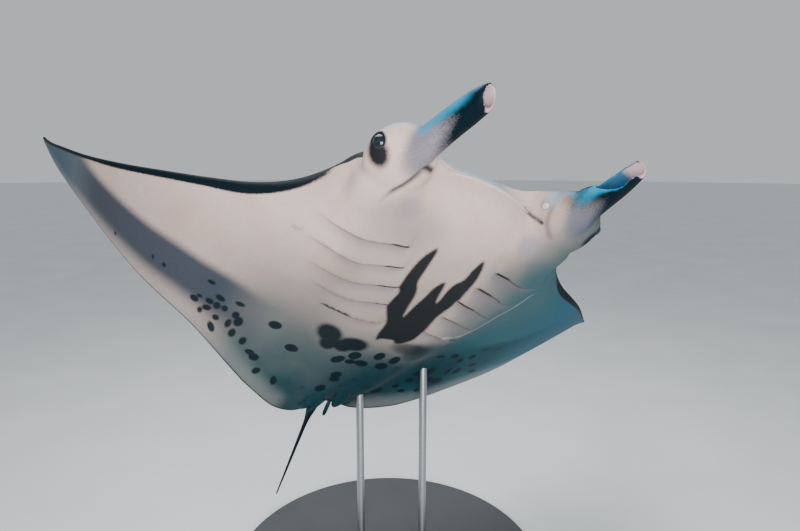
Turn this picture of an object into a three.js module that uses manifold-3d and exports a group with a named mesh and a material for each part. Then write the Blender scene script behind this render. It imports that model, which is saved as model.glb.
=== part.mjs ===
// A life-size reef manta ray, banking as it climbs, held by a plain display stand.
// Millimetres, +Z up. The origin is the centre of the base's underside.
// The animal is shaped in its own flat frame: x forward, y to its left, z towards its back, with the front of
// the mouth just behind x = 0. Its wings are then bent, and the whole animal is banked on the stand.
import * as THREE from 'three';
import { LoftGeometry } from 'three/addons/geometries/LoftGeometry.js';
import { mergeVertices } from 'three/addons/utils/BufferGeometryUtils.js';
import Module from 'manifold-3d';

const wasm = await Module();
wasm.setup();

const { degToRad } = THREE.MathUtils;

// ---------------------------------------------------------------- driving dimensions

const DISC_WIDTH = 3500;
const HALF_SPAN = DISC_WIDTH / 2;
const GAP = 0.3;

// The pose on the stand: nose up, rolled to the animal's left, mouth this high over the floor.
const PITCH = degToRad(50.3);
const ROLL = degToRad(31.5);
const BODY_ORIGIN = new THREE.Vector3(-150, -620, 1870);

// Outline of the disc as [distance from the midline, x], from the midline to the wing tip.
const LEADING_EDGE = [
  [0, -150], [200, -152], [330, -160], [400, -176], [437, -208], [478, -281], [552, -357], [655, -423],
  [782, -480], [926, -545], [1084, -623], [1251, -703], [1421, -776], [1560, -838], [1660, -877], [1720, -901],
  [HALF_SPAN, -915],
];
const TRAILING_EDGE = {
  right: [
    [0, -1430], [40, -1490], [80, -1519], [140, -1522], [200, -1499], [280, -1440], [420, -1332], [665, -1176],
    [945, -1091], [1225, -992], [1420, -955], [1560, -952], [1660, -946], [1720, -940], [HALF_SPAN, -935],
  ],
  left: [
    [0, -1420], [40, -1408], [90, -1412], [160, -1425], [230, -1415], [300, -1390], [420, -1325], [665, -1186],
    [945, -1091], [1225, -992], [1420, -955], [1560, -952], [1660, -946], [1720, -940], [HALF_SPAN, -935],
  ],
};

// Height of the back and of the belly along the midline, and half width of the belly, as [x, value].
const BACK_HEIGHT = [
  [-1565, 30], [-1480, 48], [-1380, 66], [-1250, 96], [-1100, 132], [-900, 172], [-700, 195], [-520, 192],
  [-380, 168], [-260, 125], [-150, 70],
];
const BELLY_DEPTH = [
  [-1565, 26], [-1480, 42], [-1380, 58], [-1250, 80], [-1100, 110], [-900, 150], [-720, 174], [-540, 180],
  [-400, 178], [-300, 168], [-200, 140], [-150, 112],
];
const BELLY_HALF_WIDTH = [
  [-1565, 90], [-1300, 140], [-1100, 190], [-900, 240], [-731, 290], [-670, 330], [-600, 370], [-480, 415],
  [-385, 420], [-280, 400], [-150, 380],
];
const BELLY_SQUARENESS = 6;
const BACK_HALF_WIDTH = 300;
const BACK_SQUARENESS = 2.6;
const SHOULDER_ROUNDING = 140;
const REAR_TAPER = 300;

// Wings: half thickness at the root and at the tip, and how each wing is bent.
const BEND_START = 367;
const BEND_LENGTH = HALF_SPAN - BEND_START;
const TWIST_AXIS_X = -700;
const TWIST_AXIS_SWEEP = -210;
const CAMBER_CHORD = 700;
const WING_ROOT_HALF_THICKNESS = 56;
const WING_TIP_HALF_THICKNESS = 4;
const TRAILING_HALF_THICKNESS = 1.5;
const RIGHT_WING = { lift: [1.666, -0.45, 0.086], twist: [-0.246, -0.114], sweep: -167, camber: [165, 23] };
const LEFT_WING = { lift: [1.434, -0.6, -0.312], twist: [-0.279, 0.051], sweep: -70, camber: [7, 2] };

// Where the animal is parted into its named pieces.
const HEAD_CUT_X = -252;
const FIN_CUT_X = 12;
const WING_ROOT_CUT_Y = 520;
const WING_MIDDLE_CUT_Y = 1050;

// Head.
const SNOUT_EDGE_X = -92;
const HEAD_BACK_X = -430;
const HEAD_HALF_WIDTH = 384;
const LIP_HEIGHT = -22;
const LIP_DROP = 46;
const JAW_TILT = 0.02;
const JAW_CENTRE = new THREE.Vector3(-338, 0, -40);
const JAW_RADII = new THREE.Vector3(250, 385, 140);
const MOUTH_HALF_WIDTH = 204;
const EYE_LOBE_CENTRE = new THREE.Vector3(-101, 334, -104);
const EYE_LOBE_RADII = new THREE.Vector3(119, 112, 63);
const EYE_DIRECTION = new THREE.Vector3(0.36, 0.92, -0.16).normalize();
const EYE_RADIUS = 26;
const EYE_DEPTH = 17;

// Cephalic fin: centres down its rolled length with the roll's radius at each, [x, y, z, radius], and how far
// each fin's tip leans from there.
const FIN_PATH = [
  [-140, 322, -104, 40], [-95, 321, -116, 50], [-40, 316, -132, 50], [20, 308, -155, 45], [84, 302, -179, 42],
  [140, 296, -202, 40], [190, 290, -223, 36], [240, 281, -248, 29],
];
const FIN_LEAN = { right: new THREE.Vector3(6, 2, -12), left: new THREE.Vector3(-12, -8, 12) };
const FIN_WALL = 8;
const FIN_OPENING_X = 40;
const FIN_OPENING_TURN = degToRad(28);
const FIN_OPENING_HALF_ANGLE = degToRad(52);
const FIN_TIP_X = 228;
const FIN_TIP_SLANT = new THREE.Vector3(0.9, -0.22, -0.36).normalize();

// Tail, dorsal fin, pelvic fins and claspers.
const TAIL_START = new THREE.Vector3(-1400, -16, 6);
const TAIL_LENGTH = 905;
const TAIL_SWING = degToRad(10.5);
const TAIL_RADII = [[0, 30], [0.08, 24], [0.2, 11.5], [0.35, 8.5], [0.7, 6], [1, 3.5]];
const DORSAL_FIN = { x: -1300, length: 170, height: 88, rake: 95, halfThickness: 11 };
const PELVIC_FIN = {
  centre: new THREE.Vector3(-1324, 58, -60),
  radii: new THREE.Vector3(98, 41, 11),
  splay: 0.16,
  droop: 0.2,
  skew: 26,
};
const CLASPER = { start: new THREE.Vector3(-1330, 14, -58), end: new THREE.Vector3(-1455, 42, -46), radius: 9.5 };

// Stand: a round base and two upright rods. Each rod is placed under a point of the belly in the flat frame.
const BASE_RADIUS = 700;
const BASE_THICKNESS = 40;
const BASE_CHAMFER = 8;
const ROD_RADIUS = 17;
const ROD_FOOT_RADIUS = 62;
const ROD_FOOT_HEIGHT = 16;
const ROD_SINK = 45;
const REAR_ROD_POINT = new THREE.Vector3(-1300, 150, -45);
const FRONT_ROD_POINT = new THREE.Vector3(-1040, 330, -40);

// ---------------------------------------------------------------- helpers

// A smooth function through [position, value] pairs, with positions in rising order.
function curve(knots) {
  const slope = knots.map((knot, i) => {
    const before = knots[Math.max(i - 1, 0)];
    const after = knots[Math.min(i + 1, knots.length - 1)];
    return (after[1] - before[1]) / (after[0] - before[0]);
  });
  return (position) => {
    const at = THREE.MathUtils.clamp(position, knots[0][0], knots[knots.length - 1][0]);
    let i = 0;
    while (i < knots.length - 2 && at > knots[i + 1][0]) i += 1;
    const step = knots[i + 1][0] - knots[i][0];
    const t = (at - knots[i][0]) / step;
    const t2 = t * t;
    const t3 = t2 * t;
    const value = (2 * t3 - 3 * t2 + 1) * knots[i][1] + (3 * t2 - 2 * t3) * knots[i + 1][1];
    return value + (t3 - 2 * t2 + t) * step * slope[i] + (t3 - t2) * step * slope[i + 1];
  };
}

// Evenly spaced values from start to end, the first included and the last left out.
function spread(start, end, count) {
  return Array.from({ length: count }, (_, i) => start + ((end - start) * i) / count);
}

// A quarter-round ramp: 0 at the edge, 1 from `radius` inwards.
function roundedRamp(distance, radius) {
  const inward = THREE.MathUtils.clamp(distance / radius, 0, 1);
  return Math.sqrt(1 - (1 - inward) ** 2);
}

// A closed geometry as a manifold solid, without its triangles of no area.
function toSolid(geometry) {
  const bare = new THREE.BufferGeometry();
  bare.setAttribute('position', geometry.getAttribute('position'));
  bare.setIndex(geometry.index);
  const merged = mergeVertices(bare, 1e-3);
  const kept = [];
  for (let i = 0; i < merged.index.count; i += 3) {
    const [a, b, c] = [0, 1, 2].map((k) => merged.index.getX(i + k));
    if (a !== b && b !== c && c !== a) kept.push(a, b, c);
  }
  const triVerts = new Uint32Array(kept);
  const vertProperties = merged.getAttribute('position').array;
  return new wasm.Manifold(new wasm.Mesh({ numProp: 3, vertProperties, triVerts }));
}

// A manifold solid as a geometry.
function toGeometry(solid) {
  const mesh = solid.getMesh();
  const geometry = new THREE.BufferGeometry();
  geometry.setAttribute('position', new THREE.BufferAttribute(new Float32Array(mesh.vertProperties), 3));
  geometry.setIndex(new THREE.BufferAttribute(new Uint32Array(mesh.triVerts), 1));
  geometry.computeVertexNormals();
  return geometry;
}

// The solid with its surface moved out by `distance`, used to leave a gap round it.
function grown(solid, distance) {
  const geometry = toGeometry(solid);
  const position = geometry.getAttribute('position');
  const normal = geometry.getAttribute('normal');
  for (let i = 0; i < position.count; i += 1) {
    position.setXYZ(
      i,
      position.getX(i) + normal.getX(i) * distance,
      position.getY(i) + normal.getY(i) * distance,
      position.getZ(i) + normal.getZ(i) * distance,
    );
  }
  return toSolid(geometry);
}

// The part of a solid beyond a plane, less half a gap.
function beyond(solid, point, normal) {
  const reach = 6000;
  const box = new THREE.BoxGeometry(reach, reach, reach);
  box.translate(0, 0, reach / 2 + GAP / 2);
  box.applyQuaternion(new THREE.Quaternion().setFromUnitVectors(new THREE.Vector3(0, 0, 1), normal));
  box.translate(point.x, point.y, point.z);
  return solid.intersect(toSolid(box));
}

// A closed solid skinned over rings of points, in whichever ring order makes its faces point out.
function loft(rings) {
  const [first, next] = rings;
  const middle = (ring) => ring.reduce((sum, point) => sum.add(point), new THREE.Vector3()).divideScalar(ring.length);
  const area = new THREE.Vector3();
  first.forEach((point, i) => {
    area.add(new THREE.Vector3().crossVectors(point, first[(i + 1) % first.length]));
  });
  const rising = area.dot(middle(next).sub(middle(first))) > 0;
  const sections = rising ? rings : rings.map((ring) => ring.slice().reverse());
  return toSolid(new LoftGeometry(sections, { capStart: true, capEnd: true }));
}

// The outermost shell of a solid, without any space closed in between the forms joined in it.
function filled(solid) {
  return solid.decompose().reduce((largest, shell) => (shell.volume() > largest.volume() ? shell : largest));
}

// A round tube through [centre, radius] stations, closed at both ends.
function tube(stations, sides) {
  const path = new THREE.CatmullRomCurve3(stations.map((station) => station.centre), false, 'chordal');
  const up = new THREE.Vector3(0, 0, 1);
  const rings = stations.map(({ centre, radius }, i) => {
    const before = stations[Math.max(i - 1, 0)].centre;
    const after = stations[Math.min(i + 1, stations.length - 1)].centre;
    const along = i === 0 || i === stations.length - 1
      ? path.getTangent(i === 0 ? 0 : 1)
      : after.clone().sub(before).normalize();
    const across = new THREE.Vector3().crossVectors(up, along).normalize();
    const upright = new THREE.Vector3().crossVectors(along, across);
    return spread(0, 2 * Math.PI, sides).map((angle) => centre.clone()
      .addScaledVector(across, radius * Math.cos(angle))
      .addScaledVector(upright, radius * Math.sin(angle)));
  });
  return loft(rings);
}

// A ball stretched to three radii about a centre.
function ellipsoid(centre, radii, segments, rings) {
  const geometry = new THREE.SphereGeometry(1, segments, rings);
  geometry.scale(radii.x, radii.y, radii.z);
  geometry.translate(centre.x, centre.y, centre.z);
  return geometry;
}

// The same vector on the animal's other side.
function mirrored(vector) {
  return new THREE.Vector3(vector.x, -vector.y, vector.z);
}

// ---------------------------------------------------------------- wing bend

// Bends one wing: the span curls up along its length, each chord turns about the twist axis, and the rear of
// the wing takes its camber.
class WingBend {
  constructor(side, { lift, twist, sweep, camber }) {
    this.side = side;
    this.lift = lift;
    this.twist = twist;
    this.sweep = sweep;
    this.camber = camber;
    this.steps = 200;
    this.out = [0];
    this.up = [0];
    for (let i = 0; i < this.steps; i += 1) {
      const angle = this.liftAt((i + 0.5) / this.steps);
      this.out.push(this.out[i] + (Math.cos(angle) * BEND_LENGTH) / this.steps);
      this.up.push(this.up[i] + (Math.sin(angle) * BEND_LENGTH) / this.steps);
    }
  }

  liftAt(s) {
    return this.lift[0] * s + this.lift[1] * s * s + this.lift[2] * s * s * s;
  }

  twistAt(s) {
    return this.twist[0] * s + this.twist[1] * s * s;
  }

  along(table, s) {
    const at = THREE.MathUtils.clamp(s, 0, 1) * this.steps;
    const i = Math.min(Math.floor(at), this.steps - 1);
    return table[i] + (table[i + 1] - table[i]) * (at - i);
  }

  // Point of the bent wing for a point of the flat one.
  apply(x, y, z) {
    const s = Math.max(0, (Math.abs(y) - BEND_START) / BEND_LENGTH);
    const lift = this.liftAt(s);
    const twist = this.twistAt(s);
    const axisX = TWIST_AXIS_X + TWIST_AXIS_SWEEP * s;
    const chord = x - axisX;
    const aft = Math.max(0, -chord) / CAMBER_CHORD;
    const height = z + (this.camber[0] * s + this.camber[1] * s * s) * aft * aft;
    const normal = chord * Math.sin(twist) + height * Math.cos(twist);
    return new THREE.Vector3(
      axisX + chord * Math.cos(twist) - height * Math.sin(twist) + this.sweep * s * s,
      this.side * (Math.min(Math.abs(y), BEND_START) + this.along(this.out, s) - normal * Math.sin(lift)),
      this.along(this.up, s) + normal * Math.cos(lift),
    );
  }

  // Plane of the chord at distance y from the midline, with its normal towards the tip.
  plane(y) {
    const s = (y - BEND_START) / BEND_LENGTH;
    const lift = this.liftAt(s);
    return {
      point: this.apply(TWIST_AXIS_X + TWIST_AXIS_SWEEP * s, y, 0),
      outward: new THREE.Vector3(0, this.side * Math.cos(lift), Math.sin(lift)),
    };
  }
}

const rightBend = new WingBend(-1, RIGHT_WING);
const leftBend = new WingBend(1, LEFT_WING);

// ---------------------------------------------------------------- disc: trunk and wings

const leadingEdge = curve(LEADING_EDGE);
const trailingEdge = { right: curve(TRAILING_EDGE.right), left: curve(TRAILING_EDGE.left) };
const backHeight = curve(BACK_HEIGHT);
const bellyDepth = curve(BELLY_DEPTH);
const bellyHalfWidth = curve(BELLY_HALF_WIDTH);

// Thickness along a wing's chord, 0 at the leading edge, 1 at its thickest and 0 at the trailing edge.
function wingSection(c) {
  return 10 * (0.2969 * Math.sqrt(c) - 0.126 * c - 0.3516 * c ** 2 + 0.2843 * c ** 3 - 0.1036 * c ** 4);
}

// Half thickness of the wing alone at a chord fraction and distance from the midline.
function wingHalfThickness(c, y) {
  const inward = 1 - THREE.MathUtils.clamp((y - BEND_START) / BEND_LENGTH, 0, 1);
  const most = WING_TIP_HALF_THICKNESS + (WING_ROOT_HALF_THICKNESS - WING_TIP_HALF_THICKNESS) * inward ** 1.5;
  return Math.max(0, most * wingSection(c)) + TRAILING_HALF_THICKNESS * roundedRamp(c, 0.02);
}

// Heights of the back and the belly of the flat disc.
function discSurface(x, y, c, trail) {
  const wing = wingHalfThickness(c, y);
  const front = roundedRamp(leadingEdge(y) - x, SHOULDER_ROUNDING);
  const rear = 1 - (1 - THREE.MathUtils.clamp((x - trail) / REAR_TAPER, 0, 1)) ** 2;
  const back = Math.max(0, backHeight(x) - wing) / (1 + (y / BACK_HALF_WIDTH) ** BACK_SQUARENESS);
  const belly = Math.max(0, bellyDepth(x) - wing) / (1 + (y / bellyHalfWidth(x)) ** BELLY_SQUARENESS);
  return { back: wing + back * front * rear, belly: -(wing + belly * front * rear) };
}

// One closed chordwise section of the bent disc.
function discSection(signedY, chordSteps) {
  const y = Math.abs(signedY);
  const bend = signedY < 0 ? rightBend : leftBend;
  const lead = leadingEdge(y);
  const trail = (signedY < 0 ? trailingEdge.right : trailingEdge.left)(y);
  const fractions = spread(0, 1, chordSteps).concat(1).map((t) => 1 - Math.cos((t * Math.PI) / 2));
  const point = (c, key) => {
    const x = lead + (trail - lead) * c;
    return bend.apply(x, y, c === 0 ? 0 : discSurface(x, y, c, trail)[key]);
  };
  const under = fractions.slice().reverse().map((c) => point(c, 'belly'));
  const over = fractions.slice(1).map((c) => point(c, 'back'));
  return under.concat(over);
}

function makeDisc() {
  const half = [
    ...spread(0, 400, 6),
    ...spread(400, 560, 4),
    ...spread(0, Math.PI / 2, 12).map((t) => 560 + (HALF_SPAN - 560) * Math.sin(t)),
    HALF_SPAN,
  ];
  const stations = half.slice(1).reverse().map((y) => -y).concat(half);
  const rings = stations.map((y) => discSection(y, 12));
  return loft(rings);
}

// ---------------------------------------------------------------- head

// Plan of the upper jaw's front edge: nearly straight across the mouth, swept forward to the fin roots.
function snoutX(y) {
  return SNOUT_EDGE_X - SNOUT_EDGE_X * (Math.abs(y) / 332) ** 3;
}

// Height of the lip line, lower towards the fin roots and tilted a little up to the left.
function lipZ(y) {
  return LIP_HEIGHT - LIP_DROP * (Math.abs(y) / 332) ** 2 + JAW_TILT * (y + 220);
}

const crownRise = curve([[0, 0], [8, 13], [22, 24], [60, 56], [110, 90], [170, 124], [340, 178]]);

function upperHeadSection(y) {
  const front = Math.min(snoutX(y), -10);
  const lip = lipZ(y);
  const drop = 1 - 0.25 * (Math.abs(y) / HEAD_HALF_WIDTH) ** 3;
  const backs = [0, 8, 22, 50, 90, 140, 210, front - HEAD_BACK_X];
  const over = backs.map((q) => new THREE.Vector3(front - q, y, lip + 4 + crownRise(q) * drop));
  const under = [
    new THREE.Vector3(HEAD_BACK_X, y, -60),
    new THREE.Vector3(front - 190, y, -60),
    new THREE.Vector3(front - 60, y, lip - 28),
    new THREE.Vector3(front - 14, y, lip - 10),
    new THREE.Vector3(front - 3, y, lip - 5),
  ];
  return under.concat(over);
}

function makeUpperHead() {
  const stations = spread(-HEAD_HALF_WIDTH, HEAD_HALF_WIDTH, 18).concat(HEAD_HALF_WIDTH);
  return loft(stations.map(upperHeadSection));
}

// A narrow curved slot between the lips.
function makeMouthSlot() {
  const stations = spread(-MOUTH_HALF_WIDTH, MOUTH_HALF_WIDTH, 12).concat(MOUTH_HALF_WIDTH);
  const rings = stations.map((y) => {
    const half = 1.5 + 4 * Math.sqrt(Math.max(0, 1 - (y / MOUTH_HALF_WIDTH) ** 2));
    const middle = lipZ(y) - 9;
    const front = snoutX(y) + 40;
    const back = snoutX(y) - 45;
    return [
      new THREE.Vector3(back, y, middle - 1),
      new THREE.Vector3(front, y, middle - half),
      new THREE.Vector3(front, y, middle + half),
      new THREE.Vector3(back, y, middle + 1),
    ];
  });
  return loft(rings);
}

// Centres, radii and directions down a cephalic fin: `inward` is where its opening faces.
function finStations(side) {
  const lean = side > 0 ? FIN_LEAN.left : FIN_LEAN.right;
  const places = FIN_PATH.map(([x, y, z, radius]) => {
    const along = Math.max(0, x - FIN_PATH[0][0]) / (FIN_TIP_X - FIN_PATH[0][0]);
    const shift = lean.clone().multiplyScalar(along * along);
    return { centre: new THREE.Vector3(x + shift.x, side * (y + shift.y), z + shift.z), radius };
  });
  return places.map(({ centre, radius }, i) => {
    const before = places[Math.max(i - 1, 0)].centre;
    const after = places[Math.min(i + 1, places.length - 1)].centre;
    const along = after.clone().sub(before).normalize();
    const inward = new THREE.Vector3(0, -side, 0).addScaledVector(along, side * along.y).normalize();
    const upward = new THREE.Vector3().crossVectors(along, inward).multiplyScalar(-side);
    inward.applyAxisAngle(along, -side * FIN_OPENING_TURN);
    upward.applyAxisAngle(along, -side * FIN_OPENING_TURN);
    return { centre, radius, along, inward, upward };
  });
}

// A ring round one station of the fin, with the radius as a function of the angle from `inward`.
function finRing({ centre, inward, upward }, angles, radiusAt) {
  return angles.map((angle) => centre.clone()
    .addScaledVector(inward, radiusAt(angle) * Math.cos(angle))
    .addScaledVector(upward, radiusAt(angle) * Math.sin(angle)));
}

// A cephalic fin: a solid root, then a roll that is open along its inner side and at its slanted tip.
function makeCephalicFin(side) {
  const stations = finStations(side);
  const roll = loft(stations.map((station) => finRing(station, spread(-Math.PI, Math.PI, 16), () => station.radius)));
  const opened = stations.filter(({ centre }) => centre.x > FIN_OPENING_X - 40);
  const hollow = loft(opened.map((station, i) => {
    const part = THREE.MathUtils.clamp((i + 0.25) / 2, 0, 1);
    const half = FIN_OPENING_HALF_ANGLE * (i === opened.length - 1 ? 0.08 : part);
    const mouth = spread(-half, half, 4).concat(half);
    const wall = spread(half + 0.06, 2 * Math.PI - half - 0.06, 10).concat(2 * Math.PI - half - 0.06);
    const inner = station.radius * (0.3 + 0.7 * part) - FIN_WALL;
    return finRing(station, mouth.concat(wall), (angle) => (angle <= half ? inner + part * (FIN_WALL + 12) : inner));
  }));
  const last = stations[stations.length - 1];
  const tip = last.centre.clone().addScaledVector(last.along, FIN_TIP_X - FIN_PATH[FIN_PATH.length - 1][0]);
  const slant = FIN_TIP_SLANT.clone().setY(side * FIN_TIP_SLANT.y).negate();
  return beyond(roll.subtract(hollow), tip, slant);
}

// Point and outward direction of the eye on its lobe.
function eyePlace(side) {
  const direction = side > 0 ? EYE_DIRECTION : mirrored(EYE_DIRECTION);
  const reach = 1 / Math.hypot(
    direction.x / EYE_LOBE_RADII.x,
    direction.y / EYE_LOBE_RADII.y,
    direction.z / EYE_LOBE_RADII.z,
  );
  const centre = side > 0 ? EYE_LOBE_CENTRE : mirrored(EYE_LOBE_CENTRE);
  return centre.clone().addScaledVector(direction, reach - EYE_DEPTH);
}

// ---------------------------------------------------------------- rear

function makeTail() {
  const radius = curve(TAIL_RADII);
  const direction = new THREE.Vector3(-Math.cos(TAIL_SWING), Math.sin(TAIL_SWING), 0);
  const stations = spread(0, 1, 11).concat(1).map((t) => ({
    centre: TAIL_START.clone().addScaledVector(direction, TAIL_LENGTH * t),
    radius: radius(t),
  }));
  return tube(stations, 10);
}

// A low fin that rakes back, as sections stacked from its root to its tip.
function makeDorsalFin() {
  const { x, length, height, rake, halfThickness } = DORSAL_FIN;
  const rings = spread(0, 1, 6).concat(0.97).map((t) => {
    const chord = length * (1 - 0.72 * t ** 1.4);
    const front = x - rake * t ** 1.3;
    const thick = halfThickness * (1 - 0.8 * t);
    return spread(0, 2 * Math.PI, 14).map((angle) => new THREE.Vector3(
      front - chord * (0.5 - 0.5 * Math.cos(angle)),
      thick * Math.sin(angle),
      10 + (height + 50) * t,
    ));
  });
  return loft(rings);
}

function makePelvicFin(side) {
  const geometry = ellipsoid(new THREE.Vector3(), PELVIC_FIN.radii, 14, 8);
  geometry.rotateY(PELVIC_FIN.droop);
  geometry.rotateZ(-side * PELVIC_FIN.splay);
  const centre = side > 0 ? PELVIC_FIN.centre : mirrored(PELVIC_FIN.centre);
  geometry.translate(centre.x + side * PELVIC_FIN.skew, centre.y, centre.z);
  return toSolid(geometry);
}

function makeClasper(side) {
  const place = (vector) => (side > 0 ? vector.clone() : mirrored(vector));
  const start = place(CLASPER.start);
  const end = place(CLASPER.end);
  const stations = [[0, 0.8], [0.3, 1], [0.8, 0.9], [0.95, 0.65], [1, 0.3]].map(([t, width]) => ({
    centre: start.clone().lerp(end, t),
    radius: CLASPER.radius * width,
  }));
  return tube(stations, 10);
}

// ---------------------------------------------------------------- stand

function makeBase() {
  const profile = [
    new THREE.Vector2(0, 0),
    new THREE.Vector2(BASE_RADIUS, 0),
    new THREE.Vector2(BASE_RADIUS, BASE_THICKNESS - BASE_CHAMFER),
    new THREE.Vector2(BASE_RADIUS - BASE_CHAMFER, BASE_THICKNESS),
    new THREE.Vector2(0, BASE_THICKNESS),
  ];
  const geometry = new THREE.LatheGeometry(profile, 48);
  geometry.rotateX(Math.PI / 2);
  return toSolid(geometry);
}

// An upright rod with a round foot, standing on the base under a point of the animal.
function makeRod(top) {
  const bottom = BASE_THICKNESS + GAP;
  const footTop = bottom + ROD_FOOT_HEIGHT;
  const profile = [
    new THREE.Vector2(0, bottom),
    new THREE.Vector2(ROD_FOOT_RADIUS, bottom),
    new THREE.Vector2(ROD_FOOT_RADIUS, footTop - 4),
    new THREE.Vector2(ROD_FOOT_RADIUS - 4, footTop),
    new THREE.Vector2(ROD_RADIUS, footTop),
    new THREE.Vector2(ROD_RADIUS, top.z + ROD_SINK),
    new THREE.Vector2(0, top.z + ROD_SINK),
  ];
  const geometry = new THREE.LatheGeometry(profile, 24);
  geometry.rotateX(Math.PI / 2);
  geometry.translate(top.x, top.y, 0);
  return geometry;
}

// ---------------------------------------------------------------- assembly

const skin = {
  back: { color: 0x1c2a33, roughness: 0.5, metalness: 0 },
  belly: { color: 0xcfc8c2, roughness: 0.5, metalness: 0 },
  eye: { color: 0x0b0c0e, roughness: 0.12, metalness: 0 },
  steel: { color: 0x9a9ea3, roughness: 0.32, metalness: 1 },
  base: { color: 0x3a3c3f, roughness: 0.55, metalness: 0 },
};

const animal = new THREE.Group();
animal.rotation.set(-ROLL, -PITCH, -Math.PI / 2, 'ZYX');
animal.position.copy(BODY_ORIGIN);
animal.updateMatrixWorld(true);

const group = new THREE.Group();
group.add(animal);

function addNode(parent, name, geometry, finish) {
  const mesh = new THREE.Mesh(geometry, new THREE.MeshStandardMaterial(finish));
  mesh.name = name;
  parent.add(mesh);
}

const sides = [{ name: 'right', side: -1, bend: rightBend }, { name: 'left', side: 1, bend: leftBend }];
const forward = new THREE.Vector3(1, 0, 0);
const backward = new THREE.Vector3(-1, 0, 0);
const headCut = new THREE.Vector3(HEAD_CUT_X, 0, 0);
const finCut = new THREE.Vector3(FIN_CUT_X, 0, 0);

// The animal's flesh as one solid: disc, head, lobes, fin roots.
const fins = sides.map(({ side }) => makeCephalicFin(side));
const lobes = sides.map(({ side }) => {
  const centre = side > 0 ? EYE_LOBE_CENTRE : mirrored(EYE_LOBE_CENTRE);
  return toSolid(ellipsoid(centre, EYE_LOBE_RADII, 22, 12));
});
const jaw = toSolid(ellipsoid(JAW_CENTRE, JAW_RADII, 30, 14));
let flesh = makeDisc().add(makeUpperHead()).add(jaw).subtract(makeMouthSlot());
lobes.forEach((lobe) => {
  flesh = flesh.add(lobe);
});
fins.forEach((fin) => {
  flesh = flesh.add(fin);
});
flesh = filled(flesh);

// Head with its eye sockets, and the fins beyond it.
const socketed = sides.reduce((solid, { side }) => {
  const socket = ellipsoid(eyePlace(side), new THREE.Vector3().setScalar(EYE_RADIUS + GAP), 16, 10);
  return solid.subtract(toSolid(socket));
}, flesh);
const head = beyond(beyond(socketed, headCut, forward), finCut, backward);
addNode(animal, 'head', toGeometry(head), skin.belly);
const finPair = beyond(flesh, finCut, forward).decompose();
finPair.forEach((fin) => {
  const name = fin.boundingBox().min[1] > 0 ? 'left' : 'right';
  addNode(animal, `cephalic_fin_${name}`, toGeometry(fin), skin.back);
});
sides.forEach(({ name, side }) => {
  const eye = new THREE.SphereGeometry(EYE_RADIUS, 16, 10);
  const place = eyePlace(side);
  eye.translate(place.x, place.y, place.z);
  addNode(animal, `eye_${name}`, toGeometry(toSolid(eye)), skin.eye);
});

// Trunk and wings.
let trunk = beyond(flesh, headCut, backward);
sides.forEach(({ name, bend }) => {
  const root = bend.plane(WING_ROOT_CUT_Y);
  const middle = bend.plane(WING_MIDDLE_CUT_Y);
  const inward = (plane) => plane.outward.clone().negate();
  const wing = beyond(flesh, root.point, root.outward);
  addNode(animal, `wing_${name}_inner`, toGeometry(beyond(wing, middle.point, inward(middle))), skin.belly);
  addNode(animal, `wing_${name}_outer`, toGeometry(beyond(wing, middle.point, middle.outward)), skin.belly);
  trunk = beyond(trunk, root.point, inward(root));
});
addNode(animal, 'trunk', toGeometry(trunk), skin.belly);

// Rear pieces, each stopped a gap short of what it grows from.
const fleshWithGap = grown(flesh, GAP);
const tail = makeTail();
addNode(animal, 'tail', toGeometry(tail.subtract(fleshWithGap)), skin.back);
const tailWithGap = grown(tail, GAP);
addNode(animal, 'dorsal_fin', toGeometry(makeDorsalFin().subtract(fleshWithGap).subtract(tailWithGap)), skin.back);
sides.forEach(({ name, side }) => {
  const clasper = makeClasper(side).subtract(fleshWithGap).subtract(tailWithGap);
  const pelvicFin = makePelvicFin(side).subtract(fleshWithGap).subtract(tailWithGap);
  addNode(animal, `clasper_${name}`, toGeometry(clasper), skin.back);
  addNode(animal, `pelvic_fin_${name}`, toGeometry(pelvicFin.subtract(grown(makeClasper(side), GAP))), skin.belly);
});

// Stand. The rods are trimmed in the animal's frame, then placed back in the stand's.
addNode(group, 'stand_base', toGeometry(makeBase()), skin.base);
const toAnimal = animal.matrixWorld.clone().invert();
const rods = { front: FRONT_ROD_POINT, rear: REAR_ROD_POINT };
Object.entries(rods).forEach(([name, point]) => {
  const rod = makeRod(point.clone().applyMatrix4(animal.matrixWorld)).applyMatrix4(toAnimal);
  const trimmed = toGeometry(toSolid(rod).subtract(fleshWithGap)).applyMatrix4(animal.matrixWorld);
  addNode(group, `stand_rod_${name}`, trimmed, skin.steel);
});

export default group;
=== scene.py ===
"""The looks of a life-size reef manta ray, banking as it climbs, on a plain display stand.

The animal is shaped in its own flat frame in millimetres: x forward, y to its left, z towards its back. Its
skin is one closed mesh. Marks, and the light and shade painted into its colour, are measured on the flat form,
then the wings are bent and it goes on its stand.
"""

import logging
import math
from dataclasses import dataclass
from enum import Enum
from typing import Any, Sequence

import bmesh
import bpy
import numpy as np
from bmesh.types import BMesh
from bpy.types import Material, Mesh, Node, NodeSocket, NodeTree, Object
from mathutils import Matrix, Vector


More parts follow.
